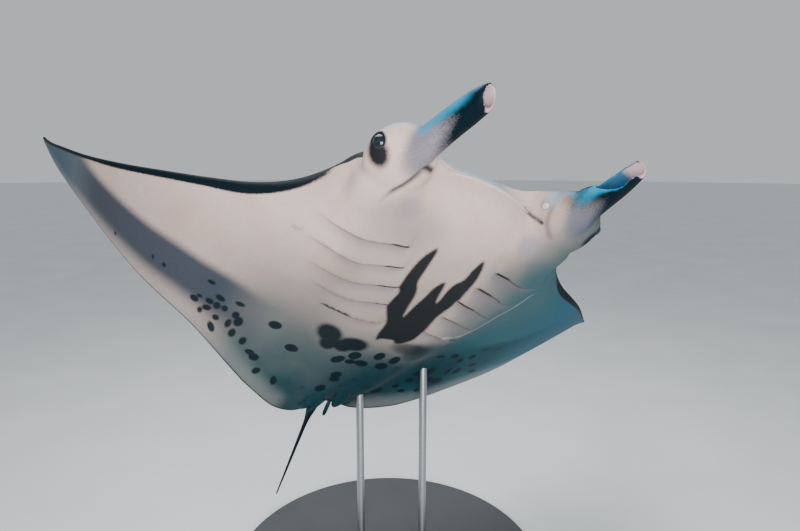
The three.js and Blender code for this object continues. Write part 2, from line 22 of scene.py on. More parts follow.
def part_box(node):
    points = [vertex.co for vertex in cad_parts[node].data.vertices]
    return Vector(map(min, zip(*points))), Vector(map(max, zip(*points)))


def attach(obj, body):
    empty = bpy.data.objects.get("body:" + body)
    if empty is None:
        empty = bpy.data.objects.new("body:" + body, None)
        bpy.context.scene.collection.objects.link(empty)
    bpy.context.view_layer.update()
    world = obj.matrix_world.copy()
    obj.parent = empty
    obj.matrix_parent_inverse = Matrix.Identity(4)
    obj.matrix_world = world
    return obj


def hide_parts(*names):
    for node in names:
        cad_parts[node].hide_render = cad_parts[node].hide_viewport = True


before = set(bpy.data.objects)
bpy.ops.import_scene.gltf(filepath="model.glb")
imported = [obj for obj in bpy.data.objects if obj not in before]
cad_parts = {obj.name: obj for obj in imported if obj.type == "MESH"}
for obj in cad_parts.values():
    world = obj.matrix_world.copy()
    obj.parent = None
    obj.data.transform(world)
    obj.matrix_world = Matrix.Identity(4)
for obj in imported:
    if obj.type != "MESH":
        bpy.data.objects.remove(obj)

LOG = logging.getLogger("manta")
MM = 0.001

Points = np.ndarray
Triple = tuple[float, float, float]
Knots = Sequence[Sequence[float]]
Table = tuple[tuple[float, ...], ...]


class Side(Enum):
    """A side of the animal, with the sign of y there."""

    RIGHT = -1
    LEFT = 1


class Joining(Enum):
    """How one closed form meets another, by the boolean modifier's name for it."""

    ADD = "UNION"
    CUT = "DIFFERENCE"


class Rod(Enum):
    """One of the stand's two rods, by the last word of its node's name."""

    FRONT = "front"
    REAR = "rear"


# -------- numbers


def smooth(value: Any, start: float, end: float) -> Points:
    """A smooth ramp from 0 at start to 1 at end.

    Args:
        value: The number or numbers to ramp.
        start: Where the ramp leaves 0.
        end: Where the ramp reaches 1.

    Returns:
        The ramp's height at each value.
    """
    part = np.clip((np.asarray(value, float) - start) / (end - start), 0, 1)
    return part * part * (3 - 2 * part)


def quarter_round(distance: Any, radius: float) -> Points:
    """A quarter-round ramp: 0 at the edge, 1 from the radius inwards.

    Args:
        distance: Distance in from the edge.
        radius: The rounding's radius.

    Returns:
        The ramp's height at each distance.
    """
    inward = np.clip(np.asarray(distance, float) / radius, 0, 1)
    return np.sqrt(1 - (1 - inward) ** 2)


def swell(distance: Any, reach: float) -> Points:
    """A soft bump, 1 at no distance, fading out round the reach."""
    return np.exp(-((np.asarray(distance, float) / reach) ** 2))


@dataclass(frozen=True)
class Curve:
    """A smooth function through (position, value) knots, with the positions in rising order."""

    knots: Knots

    def __call__(self, position: Any) -> Points:
        """Reads the curve, which runs level beyond its ends.

        Args:
            position: Where to read it.

        Returns:
            The value there, or a row of values where the knots hold several.
        """
        table = np.asarray(self.knots, float)
        place, value = table[:, 0], table[:, 1:]
        before = np.maximum(np.arange(len(place)) - 1, 0)
        after = np.minimum(np.arange(len(place)) + 1, len(place) - 1)
        slope = (value[after] - value[before]) / (place[after] - place[before])[:, None]
        at = np.clip(np.asarray(position, float), place[0], place[-1])
        i = np.clip(np.searchsorted(place, at, side="right") - 1, 0, len(place) - 2)
        step = (place[i + 1] - place[i])[..., None]
        t = (at - place[i])[..., None] / step
        start = (2 * t**3 - 3 * t**2 + 1) * value[i] + (t**3 - 2 * t**2 + t) * step * slope[i]
        end = (3 * t**2 - 2 * t**3) * value[i + 1] + (t**3 - t**2) * step * slope[i + 1]
        result = start + end
        return result[..., 0] if result.shape[-1] == 1 else result


# -------- meshes


def read_points(mesh: Mesh) -> Points:
    """Reads where a mesh's vertices are.

    Args:
        mesh: The mesh.

    Returns:
        The places, one row for each vertex.
    """
    places = np.empty(len(mesh.vertices) * 3)
    mesh.vertices.foreach_get("co", places)
    return places.reshape(-1, 3)


def write_points(mesh: Mesh, places: Points) -> None:
    """Moves a mesh's vertices to new places."""
    mesh.vertices.foreach_set("co", np.ascontiguousarray(places, dtype=np.float32).ravel())
    mesh.update()


def read_normals(mesh: Mesh) -> Points:
    """Reads which way a mesh's vertices face.

    Args:
        mesh: The mesh.

    Returns:
        The outward directions, one row for each vertex.
    """
    normals = np.empty(len(mesh.vertices) * 3, dtype=np.float32)
    mesh.vertex_normals.foreach_get("vector", normals)
    return normals.reshape(-1, 3).astype(float)


def read_edges(mesh: Mesh) -> tuple[Points, Points]:
    """Reads which vertices a mesh's edges join.

    Args:
        mesh: The mesh.

    Returns:
        The number of each edge's first vertex, and of its second.
    """
    edges = np.empty(len(mesh.edges) * 2, dtype=np.int32)
    mesh.edges.foreach_get("vertices", edges)
    first, second = edges.reshape(-1, 2).T
    return first, second


def shade_smooth(mesh: Mesh) -> None:
    """Shades every face of a mesh smooth."""
    mesh.polygons.foreach_set("use_smooth", np.ones(len(mesh.polygons), dtype=bool))


def mesh_from(name: str, bm: BMesh) -> Mesh:
    """Turns a bmesh into a mesh.

    Args:
        name: The mesh's name.
        bm: The bmesh, which is freed.

    Returns:
        The mesh.
    """
    mesh = bpy.data.meshes.new(name)
    bm.to_mesh(mesh)
    bm.free()
    return mesh


def object_of(mesh: Mesh) -> Object:
    """Puts a mesh in the scene.

    Args:
        mesh: The mesh, with its place in its points.

    Returns:
        Its object, which sits at the origin.
    """
    thing = bpy.data.objects.new(mesh.name, mesh)
    bpy.context.collection.objects.link(thing)
    return thing


def wrapped(name: str, rings: Points, merge: float = 0.02) -> Mesh:
    """A closed surface over rings of points: a grid is wrapped round them, and its seam and ends are closed.

    Args:
        name: The mesh's name.
        rings: Points as [ring, place round the ring, xyz].
        merge: How close two vertices are to become one.

    Returns:
        The closed mesh with its faces outward.
    """
    count, around, _ = rings.shape
    bm = bmesh.new()
    bmesh.ops.create_grid(bm, x_segments=count - 1, y_segments=around, size=1.0)
    mesh = mesh_from(name, bm)
    flat = read_points(mesh)
    ring = np.rint((flat[:, 0] + 1) / 2 * (count - 1)).astype(int)
    place = np.rint((flat[:, 1] + 1) / 2 * around).astype(int) % around
    write_points(mesh, rings[ring, place])
    bm = bmesh.new()
    bm.from_mesh(mesh)
    bmesh.ops.remove_doubles(bm, verts=bm.verts, dist=merge)
    bmesh.ops.dissolve_degenerate(bm, edges=bm.edges, dist=merge / 10)
    bmesh.ops.holes_fill(bm, edges=bm.edges, sides=0)
    bmesh.ops.recalc_face_normals(bm, faces=bm.faces)
    bm.to_mesh(mesh)
    bm.free()
    return mesh


def ball(name: str, centre: Sequence[float], radii: Sequence[float], detail: int = 5) -> Mesh:
    """A ball stretched to three radii about a centre.

    Args:
        name: The mesh's name.
        centre: The ball's centre.
        radii: Its radii along x, y and z.
        detail: How many times the ball's faces are split.

    Returns:
        The ball's mesh.
    """
    bm = bmesh.new()
    place = Matrix.Translation(Vector(centre)) @ Matrix.Diagonal((*radii, 1.0))
    bmesh.ops.create_icosphere(bm, subdivisions=detail, radius=1.0, matrix=place)
    return mesh_from(name, bm)


def joined(name: str, meshes: Sequence[Mesh]) -> Mesh:
    """Several meshes in one, with the originals removed.

    Args:
        name: The new mesh's name.
        meshes: The meshes to put together.

    Returns:
        The one mesh.
    """
    bm = bmesh.new()
    for mesh in meshes:
        bm.from_mesh(mesh)
        bpy.data.meshes.remove(mesh)
    return mesh_from(name, bm)


def modified(mesh: Mesh, kind: str, **settings: Any) -> Mesh:
    """A mesh with one modifier applied.

    Args:
        mesh: The mesh, which is replaced.
        kind: The modifier's type.
        **settings: The modifier's settings.

    Returns:
        The new mesh.
    """
    thing = object_of(mesh)
    modifier = thing.modifiers.new("shape", kind)
    for key, value in settings.items():
        setattr(modifier, key, value)
    bpy.context.view_layer.update()
    ready = thing.evaluated_get(bpy.context.evaluated_depsgraph_get())
    result = bpy.data.meshes.new_from_object(ready)
    name = mesh.name
    bpy.data.objects.remove(thing)
    bpy.data.meshes.remove(mesh)
    result.name = name
    return result


def combined(mesh: Mesh, other: Mesh, joining: Joining) -> Mesh:
    """Two closed meshes added together, or one cut from the other.

    Args:
        mesh: The first mesh, which is replaced.
        other: The second mesh, which is removed.
        joining: Whether the second is added or cut away.

    Returns:
        The resulting mesh.
    """
    tool = object_of(other)
    result = modified(mesh, "BOOLEAN", operation=joining.value, object=tool, solver="MANIFOLD")
    bpy.data.objects.remove(tool)
    bpy.data.meshes.remove(other)
    return result


def split_near(mesh: Mesh, near: Points, longest: float) -> None:
    """Splits the longer edges of a mesh where a mask says so.

    Args:
        mesh: The mesh to refine.
        near: True for each vertex whose edges may be split.
        longest: Edges up to this length stay whole.
    """
    bm = bmesh.new()
    bm.from_mesh(mesh)
    edges = [
        edge
        for edge in bm.edges
        if near[edge.verts[0].index] and near[edge.verts[1].index] and edge.calc_length() > longest
    ]
    bmesh.ops.subdivide_edges(bm, edges=edges, cuts=1, use_grid_fill=True)
    bmesh.ops.triangulate(bm, faces=[face for face in bm.faces if len(face.verts) > 4])
    bm.to_mesh(mesh)
    bm.free()


def relax(mesh: Mesh, weight: Points, passes: int, inward: float = 1.0) -> None:
    """Smooths a mesh where a weight says so.

    Args:
        mesh: The mesh to smooth.
        weight: How far each vertex may follow its neighbours, 0 to 1.
        passes: How many times every vertex moves.
        inward: The share of each inward move that is kept, so a low one fills hollows and spares the ridges.
    """
    first, second = read_edges(mesh)
    size = len(weight)
    count = np.bincount(first, minlength=size) + np.bincount(second, minlength=size)
    places = read_points(mesh)
    for step in range(passes):
        if inward < 1 and step % 4 == 0:
            write_points(mesh, places)
            normals = read_normals(mesh)
        total = np.stack(
            [
                np.bincount(first, places[second, k], size) + np.bincount(second, places[first, k], size)
                for k in range(3)
            ],
            axis=1,
        )
        move = (total / np.maximum(count, 1)[:, None] - places) * (0.5 * weight)[:, None]
        if inward < 1:
            outward = np.sum(move * normals, axis=1) > 0
            move *= np.where(outward, 1.0, inward)[:, None]
        places += move
    write_points(mesh, places)


def spread(mesh: Mesh, values: Points, passes: int) -> Points:
    """Softens a field over a mesh by averaging each vertex with its neighbours.

    Args:
        mesh: The mesh.
        values: One number for each vertex.
        passes: How many times the field is softened.

    Returns:
        The softened field.
    """
    first, second = read_edges(mesh)
    size = len(values)
    count = np.bincount(first, minlength=size) + np.bincount(second, minlength=size)
    for _ in range(passes):
        total = np.bincount(first, values[second], size) + np.bincount(second, values[first], size)
        values = 0.4 * values + 0.6 * total / np.maximum(count, 1)
    return values


def store(mesh: Mesh, name: str, values: Points) -> None:
    """Keeps one number for each vertex under a name that a finish can read."""
    layer = mesh.attributes.new(name, "FLOAT", "POINT")
    layer.data.foreach_set("value", np.ascontiguousarray(values, dtype=np.float32))


def store_vectors(mesh: Mesh, name: str, values: Points) -> None:
    """Keeps one vector for each vertex under a name that a finish can read."""
    layer = mesh.attributes.new(name, "FLOAT_VECTOR", "POINT")
    layer.data.foreach_set("vector", np.ascontiguousarray(values, dtype=np.float32).ravel())


# -------- finishes


def linear(colour: str) -> tuple[float, float, float, float]:
    """Turns a colour into the values that a shader takes.

    Args:
        colour: An sRGB hex colour.

    Returns:
        Its linear red, green and blue, and full cover.
    """
    parts = [int(colour[i : i + 2], 16) / 255 for i in (1, 3, 5)]
    red, green, blue = (c / 12.92 if c <= 0.04045 else ((c + 0.055) / 1.055) ** 2.4 for c in parts)
    return red, green, blue, 1.0


def plug(node: Node, inputs: dict[Any, Any]) -> None:
    """Sets or links a node's inputs.

    Args:
        node: The node.
        inputs: For each input's name or number, a value or another node's output.
    """
    for key, value in inputs.items():
        if isinstance(value, NodeSocket):
            node.id_data.links.new(value, node.inputs[key])
        else:
            node.inputs[key].default_value = value


def add_node(tree: NodeTree, kind: str, inputs: dict[Any, Any], **settings: Any) -> Node:
    """Adds a node with its settings and links.

    Args:
        tree: The material's node tree.
        kind: The node's type, without its "ShaderNode" part.
        inputs: For each input's name or number, a value or another node's output.
        **settings: The node's own settings.

    Returns:
        The node.
    """
    node = tree.nodes.new("ShaderNode" + kind)
    for key, value in settings.items():
        setattr(node, key, value)
    plug(node, inputs)
    return node


def new_material(name: str) -> tuple[Material, NodeTree, Node]:
    """Starts a material.

    Args:
        name: The material's name.

    Returns:
        The material, its node tree and its main shader.
    """
    material = bpy.data.materials.new(name)
    material.use_nodes = True
    return material, material.node_tree, material.node_tree.nodes["Principled BSDF"]


class Grain(Enum):
    """A pattern that frays a mark's edge, by the name of its noise."""

    FINE = "fine"
    MIDDLE = "middle"
    BROAD = "broad"


@dataclass(frozen=True)
class Layer:
    """One colour laid over the skin where a measured field says so.

    The field goes from start, where the colour begins, to end, where it is full. Its edge is frayed by a noise. Where
    within names a second field, the first one's distance counts on both sides of 0 and the second weakens the colour.
    """

    field: str
    colour: str
    start: float
    end: float
    strength: float = 1.0
    grain: Grain = Grain.FINE
    fray: float = 0.0
    within: str = ""


@dataclass(frozen=True)
class SkinFinish:
    """Live manta hide: thousands of tiny denticles under slime, so a satin gloss over a fine sandy tooth."""

    cream: str = "#d9c0b6"
    cream_warm: str = "#cdafa1"
    cream_cool: str = "#c4b9bb"
    fine_mm: float = 4.0
    middle_mm: float = 16.0
    broad_mm: float = 150.0
    tooth_mm: float = 2.6
    smoothest: float = 0.48
    roughest: float = 0.68
    refraction: float = 1.4
    specular: float = 0.13
    layers: tuple[Layer, ...] = (
        # Painted shade: the cream belly greys to green where the light falls off.
        Layer("painted_shade", "#2c484b", 0.0, 1.0, 1.0, Grain.BROAD, 0.08),
        # Painted shade: the blue green of the sea's light on the shaded left side.
        Layer("sea_shade_tint", "#04525f", 0.0, 1.0, 0.6, Grain.BROAD, 0.1),
        # The left wing's own dark band, deepened by painted shade, and painted shade over the rear and the pelvic
        # fins.
        Layer("deep_band_and_shade", "#002b33", 0.0, 1.0, 0.97, Grain.BROAD, 0.2),
        # Lavender speckled patches behind the mouth corners: partly their own speckle, partly painted shade under the
        # fin roots.
        Layer("lavender_speckle_shade", "#857f92", 0.15, 1.0, 0.5, Grain.FINE, 0.9),
        Layer("band", "#363f4b", 0.05, 1.0, 0.97, Grain.FINE, 0.25),
        # Painted shade: a blue cast over the outer right wing and over the left wing.
        Layer("tip_shade", "#17566c", 0.0, 1.0, 0.82, Grain.MIDDLE, 0.2),
        # Painted shade behind the gill flaps.
        Layer("flap", "#6f6469", 0.0, 1.0, 0.75, Grain.FINE, 0.15),
        Layer("margin", "#b5b0ab", 0.1, 1.0, 0.3, Grain.FINE, 0.3),
        Layer("root", "#31486c", 0.0, 1.0, 0.85, Grain.FINE, 0.6),
        Layer("strip", "#6f98ad", 0.0, 1.0, 0.7, Grain.MIDDLE, 0.2),
        Layer("smudge", "#0c1a20", 0.12, 0.8, 0.97, Grain.FINE, 0.45),
        Layer("spot", "#061b22", 3.5, -2.5, 0.96, Grain.FINE, 6.0),
        Layer("streak", "#0c151b", 6.0, -5.0, 0.97, Grain.FINE, 14.0),
        Layer("eye_patch", "#06131b", 0.15, 0.85, 0.98, Grain.FINE, 0.35),
        # Painted shade in the head's folds, the mouth's corners and round and in the nostrils.
        Layer("crease_shade", "#1a1c24", 0.1, 0.75, 0.92),
        # Painted shade: a dark line where each gill slit opens.
        Layer("slit", "#151318", 4.2, 1.6, 0.95, Grain.FINE, 0.6, "slit_shade"),
        # Painted highlights: along the lower lip's bead, round each nostril's rim, and fainter along the ridge
        # outside the left gills.
        Layer("lip", "#f6f0f0", 0.3, 0.9, 0.75),
        Layer("back", "#08171f", -2.5, 2.5, 1.0, Grain.FINE, 9.0),
        Layer("shoulder", "#848f94", 0.15, 1.0, 0.75, Grain.FINE, 0.5),
        Layer("fin", "#01151e", -40.0, 42.0, 1.0, Grain.FINE, 85.0),
        # Painted sheen: the sky reflected on the fins' upper sides and on upward faces at the front of the head.
        Layer("sky_sheen", "#18a4d0", 0.1, 1.0, 0.85, Grain.MIDDLE, 0.25),
        # Painted shade inside the fins' rolls.
        Layer("inside", "#3f7396", 0.2, 0.8, 0.9, Grain.MIDDLE, 0.3),
        Layer("pink", "#cfb0b2", 0.25, 0.75, 0.92, Grain.FINE, 0.5),
    )

    def build(self) -> Material:
        """Mixes the skin's colours, layer over layer.

        Returns:
            The material for the whole skin.
        """
        material, tree, shader = new_material("manta_hide")
        place = add_node(tree, "Attribute", {}, attribute_name="flat").outputs["Vector"]
        noises = {}
        for grain, size in ((Grain.FINE, self.fine_mm), (Grain.MIDDLE, self.middle_mm), (Grain.BROAD, self.broad_mm)):
            inputs = {"Vector": place, "Scale": 1 / (size * MM), "Detail": 3.0, "Roughness": 0.6}
            noises[grain] = add_node(tree, "TexNoise", inputs).outputs["Fac"]
        limits = {"Value": noises[Grain.BROAD], "From Min": 0.35, "From Max": 0.65}
        warm = add_node(tree, "MapRange", limits).outputs["Result"]
        colours = {0: warm, 6: linear(self.cream_warm), 7: linear(self.cream)}
        colour = add_node(tree, "Mix", colours, data_type="RGBA").outputs[2]
        limits = {"Value": noises[Grain.MIDDLE], "From Min": 0.45, "From Max": 0.75, "To Max": 0.5}
        mottle = add_node(tree, "MapRange", limits).outputs["Result"]
        colours = {0: mottle, 6: colour, 7: linear(self.cream_cool)}
        colour = add_node(tree, "Mix", colours, data_type="RGBA").outputs[2]
        for layer in self.layers:
            colours = {0: self.cover(tree, layer, noises), 6: colour, 7: linear(layer.colour)}
            colour = add_node(tree, "Mix", colours, data_type="RGBA").outputs[2]
        limits = {"Value": noises[Grain.MIDDLE], "To Min": self.smoothest, "To Max": self.roughest}
        gloss = add_node(tree, "MapRange", limits).outputs["Result"]
        cells = {"Vector": place, "Scale": 1 / (self.tooth_mm * MM)}
        tooth = add_node(tree, "TexVoronoi", cells).outputs["Distance"]
        denticles = {"Height": tooth, "Strength": 0.18, "Distance": 0.0006}
        fine = add_node(tree, "Bump", denticles).outputs["Normal"]
        dimples = {"Height": noises[Grain.MIDDLE], "Strength": 0.35, "Distance": 0.002, "Normal": fine}
        bump = add_node(tree, "Bump", dimples).outputs["Normal"]
        plug(shader, {"Base Color": colour, "Roughness": gloss, "Normal": bump})
        plug(shader, {"IOR": self.refraction, "Specular IOR Level": self.specular})
        return material

    def cover(self, tree: NodeTree, layer: Layer, noises: dict[Grain, NodeSocket]) -> NodeSocket:
        """How much of the skin a layer covers.

        Args:
            tree: The material's node tree.
            layer: The layer.
            noises: The output of each grain's noise.

        Returns:
            The output that holds the layer's cover, 0 to 1.
        """
        field = add_node(tree, "Attribute", {}, attribute_name=layer.field).outputs["Fac"]
        if layer.within:
            field = add_node(tree, "Math", {0: field}, operation="ABSOLUTE").outputs[0]
        if layer.fray:
            centred = add_node(tree, "Math", {0: noises[layer.grain], 1: 0.5}, operation="SUBTRACT").outputs[0]
            inputs = {0: centred, 1: layer.fray, 2: field}
            field = add_node(tree, "Math", inputs, operation="MULTIPLY_ADD").outputs[0]
        limits = {"Value": field, "From Min": layer.start, "From Max": layer.end, "To Max": layer.strength}
        cover = add_node(tree, "MapRange", limits).outputs["Result"]
        if layer.within:
            other = add_node(tree, "Attribute", {}, attribute_name=layer.within).outputs["Fac"]
            cover = add_node(tree, "Math", {0: cover, 1: other}, operation="MULTIPLY").outputs[0]
        return cover


@dataclass(frozen=True)
class EyeFinish:
    """A fish's wet eye: a clear hard gloss over a near-black globe, with a dim blue-brown ring round the pupil."""

    pupil: str = "#020305"
    iris: str = "#0f2630"
    white: str = "#0a1a22"

    def build(self) -> Material:
        """Paints the pupil and its ring under a clear gloss.

        Returns:
            The material for both eyes.
        """
        material, tree, shader = new_material("eye_cornea")
        turn = add_node(tree, "Attribute", {}, attribute_name="turn").outputs["Fac"]
        place = add_node(tree, "TexCoord", {}).outputs["Object"]
        inputs = {"Vector": place, "Scale": 1 / (2.5 * MM), "Detail": 2.0}
        streaks = add_node(tree, "TexNoise", inputs).outputs["Fac"]
        wavy = add_node(tree, "Math", {0: streaks, 1: 5.0, 2: turn}, operation="MULTIPLY_ADD").outputs[0]
        inner = add_node(tree, "MapRange", {"Value": wavy, "From Min": 20.0, "From Max": 23.0}).outputs["Result"]
        outer = add_node(tree, "MapRange", {"Value": wavy, "From Min": 36.0, "From Max": 42.0}).outputs["Result"]
        ring = add_node(tree, "Mix", {0: inner, 6: linear(self.pupil), 7: linear(self.iris)}, data_type="RGBA")
        colours = {0: outer, 6: ring.outputs[2], 7: linear(self.white)}
        colour = add_node(tree, "Mix", colours, data_type="RGBA").outputs[2]
        rough = add_node(tree, "MapRange", {"Value": streaks, "To Min": 0.05, "To Max": 0.12}).outputs["Result"]
        bump = add_node(tree, "Bump", {"Height": streaks, "Strength": 0.05, "Distance": 0.0002}).outputs["Normal"]
        plug(shader, {"Base Color": colour, "Roughness": rough, "Normal": bump})
        plug(shader, {"IOR": 1.38, "Coat Weight": 0.4, "Coat Roughness": 0.12})
        return material


@dataclass(frozen=True)
class PowderCoat:
    """Powder-coated steel plate: a matt charcoal film with a fine orange-peel skin and a little dust on it."""

    colour: str = "#3c4043"
    dusty: str = "#4a4e51"
    peel_mm: float = 2.2
    dust_mm: float = 90.0

    def build(self) -> Material:
        """Lays the film, its dust and its orange peel.

        Returns:
            The material for the base.
        """
        material, tree, shader = new_material("powder_coated_steel")
        place = add_node(tree, "TexCoord", {}).outputs["Object"]
        inputs = {"Vector": place, "Scale": 1 / (self.dust_mm * MM), "Detail": 5.0, "Roughness": 0.65}
        dust = add_node(tree, "TexNoise", inputs).outputs["Fac"]
        colours = {0: dust, 6: linear(self.colour), 7: linear(self.dusty)}
        colour = add_node(tree, "Mix", colours, data_type="RGBA").outputs[2]
        rough = add_node(tree, "MapRange", {"Value": dust, "To Min": 0.45, "To Max": 0.68}).outputs["Result"]
        peel = add_node(tree, "TexNoise", {"Vector": place, "Scale": 1 / (self.peel_mm * MM)}).outputs["Fac"]
        bump = add_node(tree, "Bump", {"Height": peel, "Strength": 0.22, "Distance": 0.0004}).outputs["Normal"]
        plug(shader, {"Base Color": colour, "Roughness": rough, "Normal": bump})
        return material


@dataclass(frozen=True)
class BrushedSteel:
    """Brushed stainless steel: fine lines round the rod, so the highlight is drawn out along it."""

    light: str = "#b9bcbe"
    dark: str = "#8d9194"
    line_mm: float = 0.9
    stretch: float = 0.04

    def build(self) -> Material:
        """Draws the brush lines out round the rod.

        Returns:
            The material for the rods and their screws.
        """
        material, tree, shader = new_material("brushed_stainless_steel")
        place = add_node(tree, "TexCoord", {}).outputs["Object"]
        scale = {"Vector": place, "Scale": (self.stretch, self.stretch, 1.0)}
        drawn = add_node(tree, "Mapping", scale).outputs["Vector"]
        inputs = {"Vector": drawn, "Scale": 1 / (self.line_mm * MM), "Detail": 4.0}
        lines = add_node(tree, "TexNoise", inputs).outputs["Fac"]
        colours = {0: lines, 6: linear(self.dark), 7: linear(self.light)}
        colour = add_node(tree, "Mix", colours, data_type="RGBA").outputs[2]
        rough = add_node(tree, "MapRange", {"Value": lines, "To Min": 0.24, "To Max": 0.42}).outputs["Result"]
        bump = add_node(tree, "Bump", {"Height": lines, "Strength": 0.12, "Distance": 0.0002}).outputs["Normal"]
        plug(shader, {"Base Color": colour, "Roughness": rough, "Normal": bump, "Metallic": 1.0})
        return material


@dataclass(frozen=True)
class StudioFloor:
    """A matt painted studio floor: pale, even, with a faint roller texture."""

    colour: str = "#e9ebec"
    second: str = "#d2d6d8"

    def build(self) -> Material:
        """Clouds the paint a little.

        Returns:
            The floor's material.
        """
        material, tree, shader = new_material("matt_floor_paint")
        place = add_node(tree, "TexCoord", {}).outputs["Object"]
        cloud = add_node(tree, "TexNoise", {"Vector": place, "Scale": 1.5, "Detail": 3.0}).outputs["Fac"]
        colours = {0: cloud, 6: linear(self.colour), 7: linear(self.second)}
        colour = add_node(tree, "Mix", colours, data_type="RGBA").outputs[2]
        plug(shader, {"Base Color": colour, "Roughness": 0.8})
        return material


# -------- pose


@dataclass(frozen=True)
class WingBend:
    """How one wing is bent: its span curls up, each chord turns about the twist axis, and its rear is cambered."""

    side: Side
    lift: Triple
    twist: tuple[float, float]
    sweep: float
    camber: tuple[float, float]
    start: float = 367.0
    length: float = 1383.0
    axis_x: float = -700.0
    axis_sweep: float = -210.0
    camber_chord: float = 700.0
    steps: int = 200

    def lift_at(self, s: Points) -> Points:
        """The span's slope at a part of the way out."""
        return self.lift[0] * s + self.lift[1] * s**2 + self.lift[2] * s**3

    def bend(self, flat: Points) -> Points:
        """Bends points of the flat wing.

        Args:
            flat: Flat points, one row each.

        Returns:
            The same points on the bent wing.
        """
        x, y, z = flat.T
        span = np.abs(y)
        s = np.clip((span - self.start) / self.length, 0, None)
        middles = (np.arange(self.steps) + 0.5) / self.steps
        grid = np.linspace(0, 1, self.steps + 1)
        slope = self.lift_at(middles)
        out = np.concatenate([[0], np.cumsum(np.cos(slope))]) * self.length / self.steps
        up = np.concatenate([[0], np.cumsum(np.sin(slope))]) * self.length / self.steps
        lift = self.lift_at(s)
        twist = self.twist[0] * s + self.twist[1] * s**2
        axis_x = self.axis_x + self.axis_sweep * s
        chord = x - axis_x
        aft = np.clip(-chord, 0, None) / self.camber_chord
        height = z + (self.camber[0] * s + self.camber[1] * s**2) * aft**2
        normal = chord * np.sin(twist) + height * np.cos(twist)
        bent_x = axis_x + chord * np.cos(twist) - height * np.sin(twist) + self.sweep * s**2
        reach = np.minimum(span, self.start) + np.interp(s, grid, out) - normal * np.sin(lift)
        bent_z = np.interp(s, grid, up) + normal * np.cos(lift)
        return np.stack([bent_x, self.side.value * reach, bent_z], axis=1)


@dataclass(frozen=True)
class Pose:
    """The animal's pose: each wing's bend, then nose up, rolled to its left and raised on its stand."""

    right: WingBend = WingBend(Side.RIGHT, (1.666, -0.45, 0.086), (-0.246, -0.114), -167.0, (165.0, 23.0))
    left: WingBend = WingBend(Side.LEFT, (1.434, -0.6, -0.312), (-0.279, 0.051), -70.0, (7.0, 2.0))
    pitch: float = math.radians(50.3)
    roll: float = math.radians(31.5)
    origin: Triple = (-150.0, -620.0, 1870.0)
    head_end: float = -215.0
    head_blend: float = 35.0

    def turn(self) -> Points:
        """Works out how the animal is turned.

        Returns:
            The directions of its x, y and z in the room, as columns.
        """
        cp, sp = math.cos(self.pitch), math.sin(self.pitch)
        cr, sr = math.cos(self.roll), math.sin(self.roll)
        return np.array([[0, cr, sr], [-cp, -sp * sr, sp * cr], [sp, -cp * sr, cp * cr]])

    def bent(self, flat: Points) -> Points:
        """Bends the wings of the flat form and leaves the head as it is.

        Args:
            flat: Flat points, one row each.

        Returns:
            The same points with the wings bent.
        """
        right, left = self.right.bend(flat), self.left.bend(flat)
        wings = np.where(flat[:, 1:2] < 0, right, left)
        head = smooth(flat[:, 0:1], self.head_end, self.head_end + self.head_blend)
        return wings + (flat - wings) * head

    def placed(self, points: Points) -> Points:
        """Points of the bent animal, in metres in the room."""
        return (points @ self.turn().T + np.asarray(self.origin)) * MM


# -------- the disc


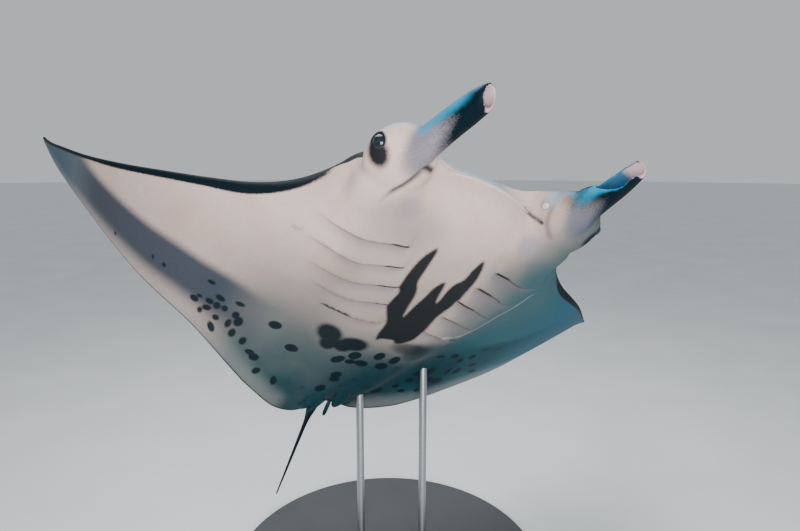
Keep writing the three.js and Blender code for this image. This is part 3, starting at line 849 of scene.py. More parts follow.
@dataclass(frozen=True)
class Disc:
    """The trunk and wings as one flat, closed form. Outlines are [distance from the midline, x]."""

    half_span: float = 1750.0
    leading: Curve = Curve((
        (0, -150), (200, -152), (330, -160), (400, -176), (437, -208), (478, -281), (552, -357), (655, -423),
        (782, -480), (926, -545), (1084, -623), (1251, -703), (1421, -776), (1560, -838), (1660, -877),
        (1720, -901), (1750, -915),
    ))
    trailing_right: Curve = Curve((
        (0, -1430), (40, -1490), (80, -1519), (140, -1522), (200, -1499), (280, -1440), (420, -1332),
        (665, -1176), (945, -1091), (1225, -992), (1420, -955), (1560, -952), (1660, -946), (1720, -940),
        (1750, -935),
    ))
    trailing_left: Curve = Curve((
        (0, -1420), (40, -1408), (90, -1412), (160, -1425), (230, -1415), (300, -1390), (420, -1325),
        (665, -1186), (945, -1091), (1225, -992), (1420, -955), (1560, -952), (1660, -946), (1720, -940),
        (1750, -935),
    ))
    back_height: Curve = Curve((
        (-1565, 30), (-1480, 48), (-1380, 66), (-1250, 96), (-1100, 132), (-900, 172), (-700, 195), (-520, 192),
        (-380, 168), (-260, 125), (-150, 70),
    ))
    belly_depth: Curve = Curve((
        (-1565, 26), (-1480, 42), (-1380, 58), (-1250, 80), (-1100, 110), (-900, 150), (-720, 174), (-540, 180),
        (-400, 178), (-300, 168), (-200, 140), (-150, 112),
    ))
    belly_half_width: Curve = Curve((
        (-1565, 90), (-1300, 140), (-1100, 190), (-900, 240), (-731, 290), (-670, 330), (-600, 370), (-480, 415),
        (-385, 420), (-280, 400), (-150, 380),
    ))
    belly_squareness: float = 6.0
    back_half_width: float = 300.0
    back_squareness: float = 2.6
    shoulder: float = 140.0
    rear_taper: float = 300.0
    bend_start: float = 367.0
    root_thickness: float = 56.0
    tip_thickness: float = 4.0
    edge_thickness: float = 1.5
    belly_steps: int = 112
    back_steps: int = 36
    crowding: float = 1.6
    tip_start: float = 1648.0

    def trailing(self, y: Points) -> Points:
        """The trailing edge's x at a signed distance from the midline."""
        return np.where(y < 0, self.trailing_right(np.abs(y)), self.trailing_left(np.abs(y)))

    def wing(self, part: Points, span: Points) -> Points:
        """Half the wing's own thickness.

        Args:
            part: How far back along the chord, 0 to 1.
            span: Distance from the midline.

        Returns:
            The half thickness there.
        """
        inward = 1 - np.clip((span - self.bend_start) / (self.half_span - self.bend_start), 0, 1)
        most = self.tip_thickness + (self.root_thickness - self.tip_thickness) * inward**1.5
        section = 2.969 * np.sqrt(part) - 1.26 * part - 3.516 * part**2 + 2.843 * part**3 - 1.036 * part**4
        return np.clip(most * section, 0, None) + self.edge_thickness * quarter_round(part, 0.02)

    def heights(self, x: Points, y: Points) -> tuple[Points, Points]:
        """Heights of the back and of the belly.

        Args:
            x: Places along the animal.
            y: Signed distances from its midline.

        Returns:
            The back's height and the belly's, which is below zero.
        """
        span = np.abs(y)
        lead, trail = self.leading(span), self.trailing(y)
        wing = self.wing(np.clip((lead - x) / (lead - trail), 0, 1), span)
        front = quarter_round(lead - x, self.shoulder)
        rear = 1 - (1 - np.clip((x - trail) / self.rear_taper, 0, 1)) ** 2
        back = np.clip(self.back_height(x) - wing, 0, None)
        back = back / (1 + (span / self.back_half_width) ** self.back_squareness)
        belly = np.clip(self.belly_depth(x) - wing, 0, None)
        belly = belly / (1 + (span / self.belly_half_width(x)) ** self.belly_squareness)
        return wing + back * front * rear, -(wing + belly * front * rear)

    def stations(self) -> Points:
        """Spaces the sections, close together over the trunk and at the tips.

        Returns:
            Their signed distances from the midline.
        """
        outer = self.tip_start + (self.half_span - self.tip_start) * np.sin(np.linspace(0, math.pi / 2, 12))
        half = np.concatenate([np.arange(0, 520, 10), np.linspace(520, 1632, 70), outer])
        return np.concatenate([-half[:0:-1], half])

    def build(self) -> Mesh:
        """Lofts the disc from sections that each run from the trailing edge round under the belly.

        Returns:
            The disc as one closed mesh.
        """
        under = np.linspace(1, 0, self.belly_steps + 1) ** self.crowding
        over = np.linspace(0, 1, self.back_steps + 1)[1:-1] ** self.crowding
        part = np.concatenate([under, over])
        y = np.repeat(self.stations()[:, None], len(part), axis=1)
        lead, trail = self.leading(np.abs(y)), self.trailing(y)
        x = lead + (trail - lead) * part[None, :]
        back, belly = self.heights(x, y)
        z = np.where(np.arange(len(part))[None, :] < len(under), belly, back)
        z[:, len(under) - 1] = 0
        rings = np.stack([x, y, z], axis=-1)
        for end in (0, -1):
            rings[end] = rings[end].mean(axis=0)
        return wrapped("disc", rings)


# -------- the head


@dataclass(frozen=True)
class CephalicFin:
    """One of the rolled fins beside the mouth: a solid root, then a roll open along its inner side.

    Angles go round the roll from its facing side, in degrees. The opening runs between two of them. The dark colour
    starts dark_from along the roll, dark_over later on its upper side, and reaches back in a tongue at tongue_at.
    """

    side: Side
    lean: Triple
    opening_from: Curve
    opening_to: Curve
    tip_x: float
    tip_slope: float
    tip_angle: float
    path: Curve = Curve((
        (-140, 322, -104, 40), (-95, 321, -116, 50), (-40, 316, -132, 50), (20, 308, -155, 45),
        (84, 302, -179, 42), (140, 296, -202, 40), (190, 290, -223, 36), (240, 281, -248, 29),
    ))
    start: float = -140.0
    lean_x: float = 228.0
    end: float = 240.0
    wall: float = 8.0
    turned: float = math.radians(28)
    around: int = 72
    tongue_at: float = -168.0
    dark_from: float = 28.0
    dark_over: float = 52.0
    root_cover: float = 0.85

    def frames(self, x: Points) -> dict[str, Points]:
        """The roll's centre, radius and directions.

        Args:
            x: Places along the fin.

        Returns:
            Its centres, and the directions along it, towards its facing side, and across both.
        """
        sign = self.side.value

        def centre_at(at: Points) -> Points:
            """The roll's centre.

            Args:
                at: Places along the fin.

            Returns:
                The centre at each of them.
            """
            part = (np.clip(at - self.start, 0, None) / (self.lean_x - self.start)) ** 2
            station = self.path(at)
            moved = station[:, :2] + part[:, None] * np.asarray(self.lean)[None, 1:]
            return np.stack([at + part * self.lean[0], sign * moved[:, 0], moved[:, 1]], axis=1)

        centre = centre_at(x)
        along = centre_at(x + 2) - centre_at(x - 2)
        along /= np.linalg.norm(along, axis=1, keepdims=True)
        inward = np.array([0.0, -sign, 0.0]) + along * (sign * along[:, 1:2])
        inward /= np.linalg.norm(inward, axis=1, keepdims=True)
        upward = -sign * np.cross(along, inward)
        turn = -sign * self.turned
        facing = inward * math.cos(turn) + np.cross(along, inward) * math.sin(turn)
        across = upward * math.cos(turn) + np.cross(along, upward) * math.sin(turn)
        return {"centre": centre, "along": along, "facing": facing, "across": across}

    def rings(self, x: Points, angles: Points, radius: Points) -> Points:
        """Rings of points round the roll.

        Args:
            x: Places along the fin.
            angles: Angles round it from its facing side.
            radius: The radius as [place, angle].

        Returns:
            Points as [place, angle, xyz].
        """
        form = self.frames(x)
        facing = form["facing"][:, None, :] * np.cos(angles)[None, :, None]
        across = form["across"][:, None, :] * np.sin(angles)[None, :, None]
        return form["centre"][:, None, :] + (facing + across) * radius[:, :, None]

    def local(self, flat: Points) -> tuple[Points, Points, Points]:
        """Where points lie on the roll.

        Args:
            flat: Flat points.

        Returns:
            Their places along it, their angles round it in degrees, and their distances from its middle line.
        """
        x = flat[:, 0].copy()
        for _ in range(4):
            form = self.frames(x)
            offset = flat - form["centre"]
            x += np.sum(offset * form["along"], axis=1)
        across, facing = np.sum(offset * form["across"], axis=1), np.sum(offset * form["facing"], axis=1)
        return x, np.degrees(np.arctan2(across, facing)), np.hypot(across, facing)

    def build_roll(self) -> Mesh:
        """Wraps the roll and cuts its tip at a slant.

        Returns:
            The solid roll.
        """
        x = np.linspace(self.start, self.end + 12, 80)
        angles = np.linspace(-math.pi, math.pi, self.around, endpoint=False)
        radius = np.repeat(self.path(x)[:, 2:3], self.around, axis=1)
        mesh = wrapped("fin_roll", self.rings(x, angles, radius))
        form = self.frames(np.array([self.tip_x]))
        lean = math.radians(self.tip_angle)
        low = form["facing"][0] * math.cos(lean) + form["across"][0] * math.sin(lean)
        bm = bmesh.new()
        bm.from_mesh(mesh)
        geometry = bm.verts[:] + bm.edges[:] + bm.faces[:]
        normal = Vector(form["along"][0] + self.tip_slope * low)
        bmesh.ops.bisect_plane(
            bm, geom=geometry, plane_co=Vector(form["centre"][0]), plane_no=normal, clear_outer=True
        )
        bmesh.ops.holes_fill(bm, edges=bm.edges, sides=0)
        bm.to_mesh(mesh)
        bm.free()
        return mesh

    def build_hollow(self) -> Mesh:
        """Wraps the space inside the roll, with the gap that opens it.

        Returns:
            The form to cut out of the roll.
        """
        x = np.linspace(14, self.end + 40, 64)
        degrees = np.linspace(-180, 180, self.around, endpoint=False)
        outer = self.path(np.minimum(x, self.end))[:, 2:3]
        widening = 0.3 + 0.7 * smooth(x, 0, 90)[:, None]
        inner = outer * widening - self.wall - 1.5 * smooth(x, 170, 230)[:, None]
        start, stop = self.opening_from(x)[:, None], self.opening_to(x)[:, None]
        open_part = (degrees[None, :] >= start) & (degrees[None, :] <= stop)
        depth = outer - inner + 14
        return wrapped("fin_hollow", self.rings(x, np.radians(degrees), inner + np.where(open_part, depth, 0)))


@dataclass(frozen=True)
class Head:
    """The head: the upper jaw, the lower jaw's bulge, the eye lobes and the roots of the cephalic fins."""

    snout_x: float = -92.0
    back_x: float = -430.0
    half_width: float = 384.0
    jaw_centre: Triple = (-338.0, 0.0, -40.0)
    jaw_radii: Triple = (250.0, 385.0, 140.0)
    mouth_half_width: float = 204.0
    lobe_centre: Triple = (-101.0, 334.0, -104.0)
    lobe_radii: Triple = (119.0, 112.0, 63.0)
    bridge_centre: Triple = (-205.0, 330.0, -90.0)
    bridge_radii: Triple = (165.0, 97.0, 62.0)
    crown: Curve = Curve(((0, 0), (8, 13), (22, 24), (60, 56), (110, 90), (170, 124), (340, 178)))
    voxel: float = 5.8
    root_y: float = 332.0
    slot_back: float = -158.0
    slot_depth: float = 130.0
    copy_rear: float = -480.0
    copy_half_width: float = 470.0
    sink: float = 16.0
    web_voxel: float = 13.0
    web_passes: int = 150
    right_fin: CephalicFin = CephalicFin(
        Side.RIGHT, (6.0, 2.0, -12.0),
        Curve(((40, 6), (60, 2), (90, -18), (140, -24), (165, -10), (176, 6), (300, 6))),
        Curve(((40, 4), (60, 14), (90, 30), (140, 34), (165, 20), (176, 4), (300, 4))),
        217.0, 0.6, -85.0,
    )
    left_fin: CephalicFin = CephalicFin(
        Side.LEFT, (-12.0, -8.0, 12.0),
        Curve((
            (50, 52), (62, 47), (77, 38), (100, -18), (140, -64), (172, -90), (210, -94), (228, -98), (300, -100),
        )),
        Curve(((50, 46), (62, 50), (90, 54), (140, 55), (190, 60), (228, 66), (300, 66))),
        232.0, 0.3, -70.0, tongue_at=-85.0, dark_from=-8.0, dark_over=12.0, root_cover=0.6,
    )

    def snout(self, y: Points) -> Points:
        """The upper jaw's front edge, nearly straight over the mouth and swept forward to the fin roots."""
        return self.snout_x * (1 - (np.abs(y) / self.root_y) ** 3)

    def lip(self, y: Points) -> Points:
        """The height of the snout's lower edge, lower towards the fin roots and a little higher at the left."""
        return -22 - 46 * (np.abs(y) / self.root_y) ** 2 + 0.02 * (y + 220)

    def mouth(self, y: Points) -> Points:
        """The height of the slit between the jaws."""
        return -52 - 0.05 * np.asarray(y, float)

    def build_upper(self) -> Mesh:
        """Lofts the upper jaw and crown from sections along the head.

        Returns:
            The upper jaw's mesh.
        """
        y = np.linspace(-self.half_width, self.half_width, 97)
        front, lip = np.minimum(self.snout(y), -10), self.lip(y)
        drop = 1 - 0.25 * (np.abs(y) / self.half_width) ** 3
        reach = np.linspace(0, 1, 40) ** 1.7
        over_x = front[:, None] - reach[None, :] * (front - self.back_x)[:, None]
        over_z = lip[:, None] + 4 + self.crown(front[:, None] - over_x) * drop[:, None]
        under = [(self.back_x, None), (-190, -60), (-60, -28), (-14, -10), (-3, -5)]
        under_x = np.stack([np.full_like(y, dx) if dz is None else front + dx for dx, dz in under], axis=1)
        flat = np.full_like(y, -60)
        under_z = np.stack([flat if dz in (None, -60) else lip + dz for dx, dz in under], axis=1)
        x = np.concatenate([under_x, over_x], axis=1)
        z = np.concatenate([under_z, over_z], axis=1)
        across = np.repeat(y[:, None], x.shape[1], axis=1)
        return wrapped("upper_jaw", np.stack([x, across, z], axis=-1))

    def build_slot(self) -> Mesh:
        """Wraps the narrow curved slot between the lips.

        Returns:
            The form to cut out of the head.
        """
        y = np.linspace(-self.mouth_half_width, self.mouth_half_width, 81)
        half = 0.6 + 2.6 * np.sqrt(np.clip(1 - (y / self.mouth_half_width) ** 2, 0, 1))
        middle = self.mouth(y)
        back = np.full_like(y, self.slot_back)
        front = back + self.slot_depth
        x = np.stack([back, front, front, back], axis=1)
        z = np.stack([middle - 1, middle - half, middle + half, middle + 1], axis=1)
        across = np.repeat(y[:, None], 4, axis=1)
        return wrapped("mouth_slot", np.stack([x, across, z], axis=-1))

    def front_of(self, disc: Mesh) -> Mesh:
        """A closed copy of the disc's front, so that the head grows out of it without a seam.

        Args:
            disc: The whole disc.

        Returns:
            The copied front.
        """
        bm = bmesh.new()
        bm.from_mesh(disc)
        half = self.copy_half_width
        planes = (((self.copy_rear, 0, 0), (-1, 0, 0)), ((0, half, 0), (0, 1, 0)), ((0, -half, 0), (0, -1, 0)))
        for point, normal in planes:
            geometry = bm.verts[:] + bm.edges[:] + bm.faces[:]
            bmesh.ops.bisect_plane(bm, geom=geometry, plane_co=point, plane_no=normal, clear_outer=True)
            bmesh.ops.holes_fill(bm, edges=bm.edges, sides=0)
        return mesh_from("disc_front", bm)

    def build_web(self, solids: Mesh) -> Mesh:
        """A coarse copy of the head whose hollows are filled, so that it shows as soft webs between its forms.

        Args:
            solids: The head's forms, not yet one skin.

        Returns:
            The copy, a little smaller than the forms everywhere else.
        """
        web = modified(solids.copy(), "REMESH", mode="VOXEL", voxel_size=self.web_voxel)
        places = read_points(web)
        x, span = places[:, 0], np.abs(places[:, 1])
        between = smooth(x, -430, -330) * (1 - smooth(x, 50, 90))
        relax(web, between * (0.12 + 0.88 * smooth(span, 205, 260)), self.web_passes, inward=0.03)
        relax(web, between, 3)
        places = read_points(web)
        inset = 2 + 7 * (1 - smooth(np.abs(places[:, 0] + 160), 330, 215))
        write_points(web, places - read_normals(web) * inset[:, None])
        return web

    def build(self, disc: Mesh) -> Mesh:
        """The head as one closed form, sunk into the disc where it ends.

        Args:
            disc: The whole disc, which is left as it is.

        Returns:
            The head's mesh with its fins hollowed and its mouth cut.
        """
        parts = [self.front_of(disc), self.build_upper(), ball("jaw", self.jaw_centre, self.jaw_radii, 6)]
        lobes = (("eye_lobe", self.lobe_centre, self.lobe_radii), ("bridge", self.bridge_centre, self.bridge_radii))
        for fin in (self.right_fin, self.left_fin):
            for name, (x, y, z), radii in lobes:
                parts.append(ball(name, (x, fin.side.value * y, z), radii))
            parts.append(fin.build_roll())
        solids = joined("head", parts)
        web = self.build_web(solids)
        head = modified(joined("head", [solids, web]), "REMESH", mode="VOXEL", voxel_size=self.voxel)
        x = read_points(head)[:, 0]
        relax(head, np.where(x > 60, 0.4, 1.0), 16)
        places = read_points(head)
        x, span = places[:, 0], np.abs(places[:, 1])
        sunk = smooth(-x, 398, 455) + smooth(span, 415, 455) * smooth(-x, 184, 196)
        write_points(head, places - read_normals(head) * (self.sink * np.clip(sunk, 0, 1) - 0.5)[:, None])
        for fin in (self.right_fin, self.left_fin):
            head = combined(head, fin.build_hollow(), Joining.CUT)
        relax(head, 0.7 * smooth(read_points(head)[:, 0], 30, 60), 3)
        return combined(head, self.build_slot(), Joining.CUT)


# -------- the rear


@dataclass(frozen=True)
class Rear:
    """The whip tail, the dorsal fin at its root, the pelvic fins and the claspers."""

    tail_start: Triple = (-1400.0, -16.0, 6.0)
    tail_length: float = 905.0
    tail_swing: float = math.radians(10.5)
    tail_radius: Curve = Curve(((0, 30), (0.08, 24), (0.2, 11.5), (0.35, 8.5), (0.7, 6), (1, 3.5)))
    dorsal_x: float = -1300.0
    dorsal_length: float = 170.0
    dorsal_height: float = 88.0
    dorsal_rake: float = 95.0
    dorsal_half_thickness: float = 11.0
    pelvic_centre: Triple = (-1328.0, 55.0, -53.0)
    pelvic_radii: Triple = (104.0, 30.0, 10.0)
    pelvic_splay: float = 0.16
    pelvic_droop: float = 0.2
    pelvic_skew: float = 26.0
    clasper_start: Triple = (-1330.0, 14.0, -58.0)
    clasper_end: Triple = (-1455.0, 42.0, -46.0)
    clasper_radius: float = 9.5

    def tube(self, name: str, start: Points, end: Points, part: Points, radius: Points) -> Mesh:
        """A straight tapered tube, closed at both ends.

        Args:
            name: The mesh's name.
            start: Centre of its first end.
            end: Centre of its second end.
            part: How far along each ring lies, 0 to 1.
            radius: The radius of each ring.

        Returns:
            The tube's mesh.
        """
        along = (end - start) / np.linalg.norm(end - start)
        across = np.cross([0.0, 0.0, 1.0], along)
        across /= np.linalg.norm(across)
        upright = np.cross(along, across)
        angles = np.linspace(0, 2 * math.pi, 24, endpoint=False)
        circle = np.cos(angles)[:, None] * across + np.sin(angles)[:, None] * upright
        centre = start + (end - start) * part[:, None]
        return wrapped(name, centre[:, None, :] + circle[None] * radius[:, None, None])

    def build_tail(self) -> Mesh:
        """Draws the tail out to a blunt tip.

        Returns:
            The tail's mesh.
        """
        start = np.asarray(self.tail_start)
        end = start + self.tail_length * np.array([-math.cos(self.tail_swing), math.sin(self.tail_swing), 0])
        part = np.concatenate([np.linspace(0, 0.98, 110), [0.99, 0.996, 0.999, 1.0]])
        radius = self.tail_radius(part)
        radius[-4:] *= [1.0, 0.85, 0.5, 0.05]
        return self.tube("tail", start, end, part, radius)

    def build_dorsal(self) -> Mesh:
        """Lofts the low dorsal fin, raked back.

        Returns:
            The fin's mesh.
        """
        t = np.concatenate([np.linspace(0, 0.95, 24), [0.97]])
        angles = np.linspace(0, 2 * math.pi, 48, endpoint=False)
        chord = self.dorsal_length * (1 - 0.72 * t**1.4)
        front = self.dorsal_x - self.dorsal_rake * t**1.3
        thick = self.dorsal_half_thickness * (1 - 0.8 * t)
        x = front[:, None] - chord[:, None] * (0.5 - 0.5 * np.cos(angles))[None, :]
        y = thick[:, None] * np.sin(angles)[None, :]
        z = np.repeat((10 + (self.dorsal_height + 50) * t)[:, None], len(angles), axis=1)
        return wrapped("dorsal_fin", np.stack([x, y, z], axis=-1))

    def build_pelvic(self, side: Side) -> Mesh:
        """Shapes a pelvic fin, a thin rounded lobe beside the tail's root.

        Args:
            side: Which side it is on.

        Returns:
            The fin's mesh.
        """
        sign = side.value
        x, y, z = self.pelvic_centre
        place = Matrix.Translation((x + sign * self.pelvic_skew, sign * y, z))
        place = place @ Matrix.Rotation(-sign * self.pelvic_splay, 4, "Z")
        place = place @ Matrix.Rotation(self.pelvic_droop, 4, "Y") @ Matrix.Diagonal((*self.pelvic_radii, 1.0))
        bm = bmesh.new()
        bmesh.ops.create_icosphere(bm, subdivisions=5, radius=1.0, matrix=place)
        return mesh_from("pelvic_fin", bm)

    def build_clasper(self, side: Side) -> Mesh:
        """Shapes a clasper, a short blunt rod beside the tail.

        Args:
            side: Which side it is on.

        Returns:
            The clasper's mesh.
        """
        sign = np.array([1, side.value, 1])
        part = np.array([0, 0.1, 0.3, 0.5, 0.7, 0.8, 0.88, 0.94, 0.98, 1.0])
        width = Curve(((0, 0.8), (0.3, 1), (0.8, 0.9), (0.95, 0.65), (1, 0.3)))(part)
        start, end = np.asarray(self.clasper_start) * sign, np.asarray(self.clasper_end) * sign
        return self.tube("clasper", start, end, part, width * self.clasper_radius)

    def build(self) -> list[Mesh]:
        """Builds every piece of the rear.

        Returns:
            The pieces, in the order that they join the disc.
        """
        pieces = [self.build_tail(), self.build_dorsal()]
        for side in Side:
            pieces += [self.build_pelvic(side), self.build_clasper(side)]
        return pieces


# -------- relief and marks


@dataclass(frozen=True)
class Gills:
    """Five gill slits on each side of the belly, each under the free rear edge of a flap.

    A slit is a curve of [distance from the midline, x], and dark gives where its line of painted shade starts and
    stops across the belly and how many times thicker than a hair it is. The left ones lie a little nearer the
    midline.
    """

    slits: tuple[Curve, ...] = (
        Curve(((180, -343), (210, -348), (245, -354), (280, -365), (330, -378), (400, -381), (490, -378))),
        Curve(((155, -423), (200, -433), (230, -440), (260, -448), (290, -462), (350, -468), (490, -468))),
        Curve(((125, -503), (170, -515), (220, -525), (260, -540), (300, -550), (350, -560), (440, -568))),
        Curve(((120, -593), (170, -600), (200, -608), (240, -620), (280, -630), (340, -645), (400, -652))),
        Curve(((100, -690), (180, -700), (215, -705), (250, -715), (280, -730), (305, -738), (330, -744))),
    )
    dark: tuple[Triple, ...] = (
        (180, 255, 2.0), (155, 235, 1.9), (125, 215, 1.8), (120, 190, 1.3), (212, 306, 3.6),
    )
    left_end: Curve = Curve((
        (-676, 165), (-662, 245), (-607, 288), (-531, 322), (-478, 366), (-409, 402), (-360, 444), (-318, 470),
    ))
    left_shift: float = 15.0
    left_forward: float = 9.0
    lift: float = 12.5
    crest: float = 3.5

    def offsets(self, flat: Points) -> list[tuple[Points, Points, Points]]:
        """How far points lie from each slit.

        Args:
            flat: Flat points.

        Returns:
            For each slit, the distance forward of it, how open its flap is, and how dark the painted shade in the
            slit is, 0 to 1.
        """
        left, under = flat[:, 1] > 0, flat[:, 2] < -20
        span = np.abs(flat[:, 1]) + np.where(left, self.left_shift, 0)
        found = []
        for slit, (start, stop, _) in zip(self.slits, self.dark):
            inner, outer = slit.knots[0][0], slit.knots[-1][0]
            ahead = flat[:, 0] - slit(span) - np.where(left, self.left_forward, 0)
            open_part = smooth(span, inner - 12, inner + 14) * (1 - smooth(span, outer - 150, outer))
            open_part *= 1 - smooth(flat[:, 1] - self.left_end(flat[:, 0]), -45, -8) * (flat[:, 0] > -676)
            dark = smooth(span, start - 6, start + 8) * (1 - smooth(span, stop - 25, stop + 10))
            found.append((ahead, open_part * under, dark * under))
        return found

    def height(self, flat: Points) -> Points:
        """How far the flaps stand out of the belly.

        Args:
            flat: Flat points.

        Returns:
            The height at each point, below zero behind a flap.
        """
        total = np.zeros(len(flat))
        for ahead, open_part, _ in self.offsets(flat):
            rise = smooth(ahead, -5, 6)
            flap = rise * swell(np.maximum(ahead, 0), 62) - (1 - rise) * 0.6 * swell(np.minimum(ahead, 0), 24)
            total += self.lift * open_part * flap
        return total

    def hollows(self, flat: Points) -> Points:
        """How deep points lie in the shade behind a flap, 0 to 1."""
        offsets = self.offsets(flat)
        return np.max([part * swell(np.minimum(ahead, 0), 30) * (ahead < 4) for ahead, part, _ in offsets], 0)

    def lines(self, flat: Points) -> tuple[Points, Points]:
        """The dark lines of the slits: painted shade where each slit opens.

        Args:
            flat: Flat points.

        Returns:
            The distance forward of the nearest line, and how dark that line is, 0 to 1.
        """
        closest, strength = np.full(len(flat), 40.0), np.zeros(len(flat))
        nearest = closest.copy()
        for (ahead, open_part, dark), (_, _, thick) in zip(self.offsets(flat), self.dark):
            away = np.abs(ahead)
            closer = away < closest
            closest = np.where(closer, away, closest)
            nearest = np.where(closer, ahead / (1 + (thick - 1) * dark), nearest)
            fade = 1 - smooth(away, 12, 22)
            strength = np.where(closer, np.maximum(dark, 0.4 * open_part) * fade, strength)
        return nearest - self.crest, strength

    def near(self, flat: Points, reach: float) -> Points:
        """True for points closer to a slit than a reach."""
        return np.any([(np.abs(ahead) < reach) & (part > 0.05) for ahead, part, _ in self.offsets(flat)], axis=0)


@dataclass(frozen=True)
class Marks:
    """The animal's own marks, and the light and shade painted over them, measured on its flat form.

    Spots are (x, y, half length along x, along y, turn in degrees), and blotches end with how dark they are.
    """

    disc: Disc
    dark_spots: Table = (
        (-875, -645, 11, 14, 0), (-935, -595, 15, 19, 25), (-920, -525, 12, 17, 0), (-980, -665, 11, 10, 0),
        (-1010, -680, 20, 17, 0), (-980, -625, 17, 15, 0), (-985, -595, 22, 12, 0), (-980, -565, 18, 11, 0),
        (-1025, -625, 20, 15, 30), (-1060, -645, 20, 10, 0), (-1055, -580, 18, 13, 0), (-1125, -580, 32, 15, -20),
        (-990, -520, 22, 13, 0), (-1020, -500, 30, 16, 0), (-1055, -530, 29, 11, 0), (-1100, -500, 28, 13, 0),
        (-1120, -450, 26, 13, 0), (-960, -380, 23, 24, 0), (-1060, -275, 25, 26, 0), (-1170, -405, 17, 18, 0),
        (-1190, -380, 24, 20, 0), (-1275, -340, 25, 16, 0), (-1315, -250, 34, 13, -15), (-920, -875, 14, 6, 0),
        (-925, -825, 14, 8, 0), (-950, -1060, 12, 6, 0),
        (-915, -80, 27, 25, 0), (-970, -125, 33, 20, 20), (-965, -75, 18, 22, 0), (-960, -30, 22, 30, 20),
        (-885, 10, 28, 21, 0), (-890, 80, 30, 20, 0), (-950, 55, 26, 26, 0), (-1085, -75, 26, 22, 0),
        (-1125, -65, 21, 22, 0), (-1225, -80, 34, 20, 0), (-1185, 275, 20, 18, 0), (-1240, 205, 32, 24, 25),
        (-910, 335, 13, 23, 0), (-900, 405, 18, 21, 0), (-895, 500, 18, 19, 0), (-930, 455, 17, 16, 0),
        (-965, 555, 15, 22, 0), (-1020, 505, 30, 20, 0), (-1025, 455, 26, 12, 0), (-1035, 365, 32, 21, 0),
        (-1065, 315, 20, 20, 0), (-1030, 610, 15, 28, 20), (-1125, 310, 19, 20, 0), (-1105, 400, 26, 24, 0),
        (-1110, 450, 26, 29, 0), (-1200, 400, 18, 18, 0), (-1220, 325, 15, 18, 0),
    )
    faint_spots: Table = (
        (-835, 525, 19, 26, 0), (-930, 620, 15, 25, 0), (-830, 600, 15, 20, 0), (-940, 125, 20, 17, 0),
        (-1100, 10, 19, 23, 0), (-1170, -10, 24, 16, 0), (-1150, 100, 20, 22, 0), (-1280, -135, 20, 9, 0),
        (-1275, 100, 20, 20, 0), (-465, -490, 8, 20, 0),
    )
    blotches: Table = (
        (-850, -215, 60, 42, 0, 1.0), (-912, -198, 36, 25, 0, 1.0), (-848, -120, 44, 58, 0, 1.0),
        (-878, -152, 38, 40, 0, 1.0), (-800, 100, 44, 90, 0, 0.62), (-835, 135, 46, 60, 0, 0.5),
    )
    streaks: tuple[tuple[float, float], ...] = (
        (-308, -92), (-350, -112), (-395, -123), (-465, -130), (-500, -127), (-528, -112), (-570, -120),
        (-602, -119), (-633, -102), (-682, -77), (-752, -72), (-787, -60), (-773, -46), (-766, 0), (-780, 14),
        (-777, 35), (-749, 63), (-724, 74), (-682, 80), (-654, 81), (-591, 84), (-549, 95), (-514, 105),
        (-451, 112), (-388, 118), (-332, 109), (-300, 91), (-346, 78), (-395, 74), (-423, 56), (-458, 46),
        (-500, 46), (-528, 42), (-500, 32), (-451, 25), (-430, 14), (-465, -7), (-514, -14), (-570, -25),
        (-633, -34), (-584, -43), (-521, -50), (-490, -60), (-458, -75), (-395, -78), (-325, -82),
    )
    rim_right: Curve = Curve((
        (430, -6), (500, 6), (560, 15), (640, 24), (700, 25), (800, 20), (1100, 15), (1250, 9), (1750, 8),
    ))
    rim_left: Curve = Curve((
        (430, -8), (520, 8), (600, 25), (700, 25), (800, 20), (900, 16), (1250, 10), (1750, 8),
    ))
    # The painted shade's strength by distance back or across: the light's falloff painted into the colour.
    fall_body: Curve = Curve((
        (150, 0), (200, 0.08), (250, 0.18), (300, 0.28), (350, 0.35), (450, 0.4), (500, 0.48), (600, 0.53),
        (700, 0.54), (780, 0.65), (870, 0.78), (950, 0.88), (1030, 0.92), (1200, 0.96), (1300, 1),
    ))
    fall_wing: Curve = Curve((
        (440, 0), (485, 0.06), (537, 0.15), (593, 0.27), (655, 0.35), (722, 0.5), (790, 0.62), (860, 0.77),
        (933, 0.8), (1013, 0.85), (1098, 0.9), (1188, 0.95), (1284, 1),
    ))
    fall_left: Curve = Curve((
        (70, 0), (120, 0.12), (150, 0.38), (193, 0.62), (250, 0.73), (306, 0.86), (386, 0.91), (900, 0.96),
    ))
    fall_cheek: Curve = Curve((
        (190, 0), (226, 0.25), (256, 0.42), (280, 0.6), (309, 0.72), (366, 0.86), (450, 0.9),
    ))
    head_top: Curve = Curve(((0, 22), (200, 8), (280, -20), (340, -55), (450, -58)))
    band_right: Curve = Curve((
        (430, -855), (550, -808), (650, -788), (700, -782), (800, -768), (900, -762), (1000, -750), (1100, -735),
        (1200, -715), (1300, -690), (1420, -690),
    ))
    band_left: Curve = Curve((
        (60, -775), (120, -740), (200, -735), (280, -765), (350, -800), (430, -812), (500, -795), (600, -752),
        (700, -705), (800, -620), (900, -565),
    ))

    def spots(self, flat: Points, table: Knots) -> Points:
        """The distance out of the nearest of a set of oval spots.

        Args:
            flat: Flat points.
            table: The spots.

        Returns:
            Distances, which are below zero inside a spot.
        """
        best = np.full(len(flat), 99.0)
        for x, y, long, wide, turn in table:
            cos, sin = math.cos(math.radians(turn)), math.sin(math.radians(turn))
            dx, dy = flat[:, 0] - x, flat[:, 1] - y
            ratio = np.hypot((dx * cos + dy * sin) / long, (dy * cos - dx * sin) / wide)
            best = np.minimum(best, (ratio - 1) * min(long, wide))
        return np.where(flat[:, 2] < 0, best, 99.0)

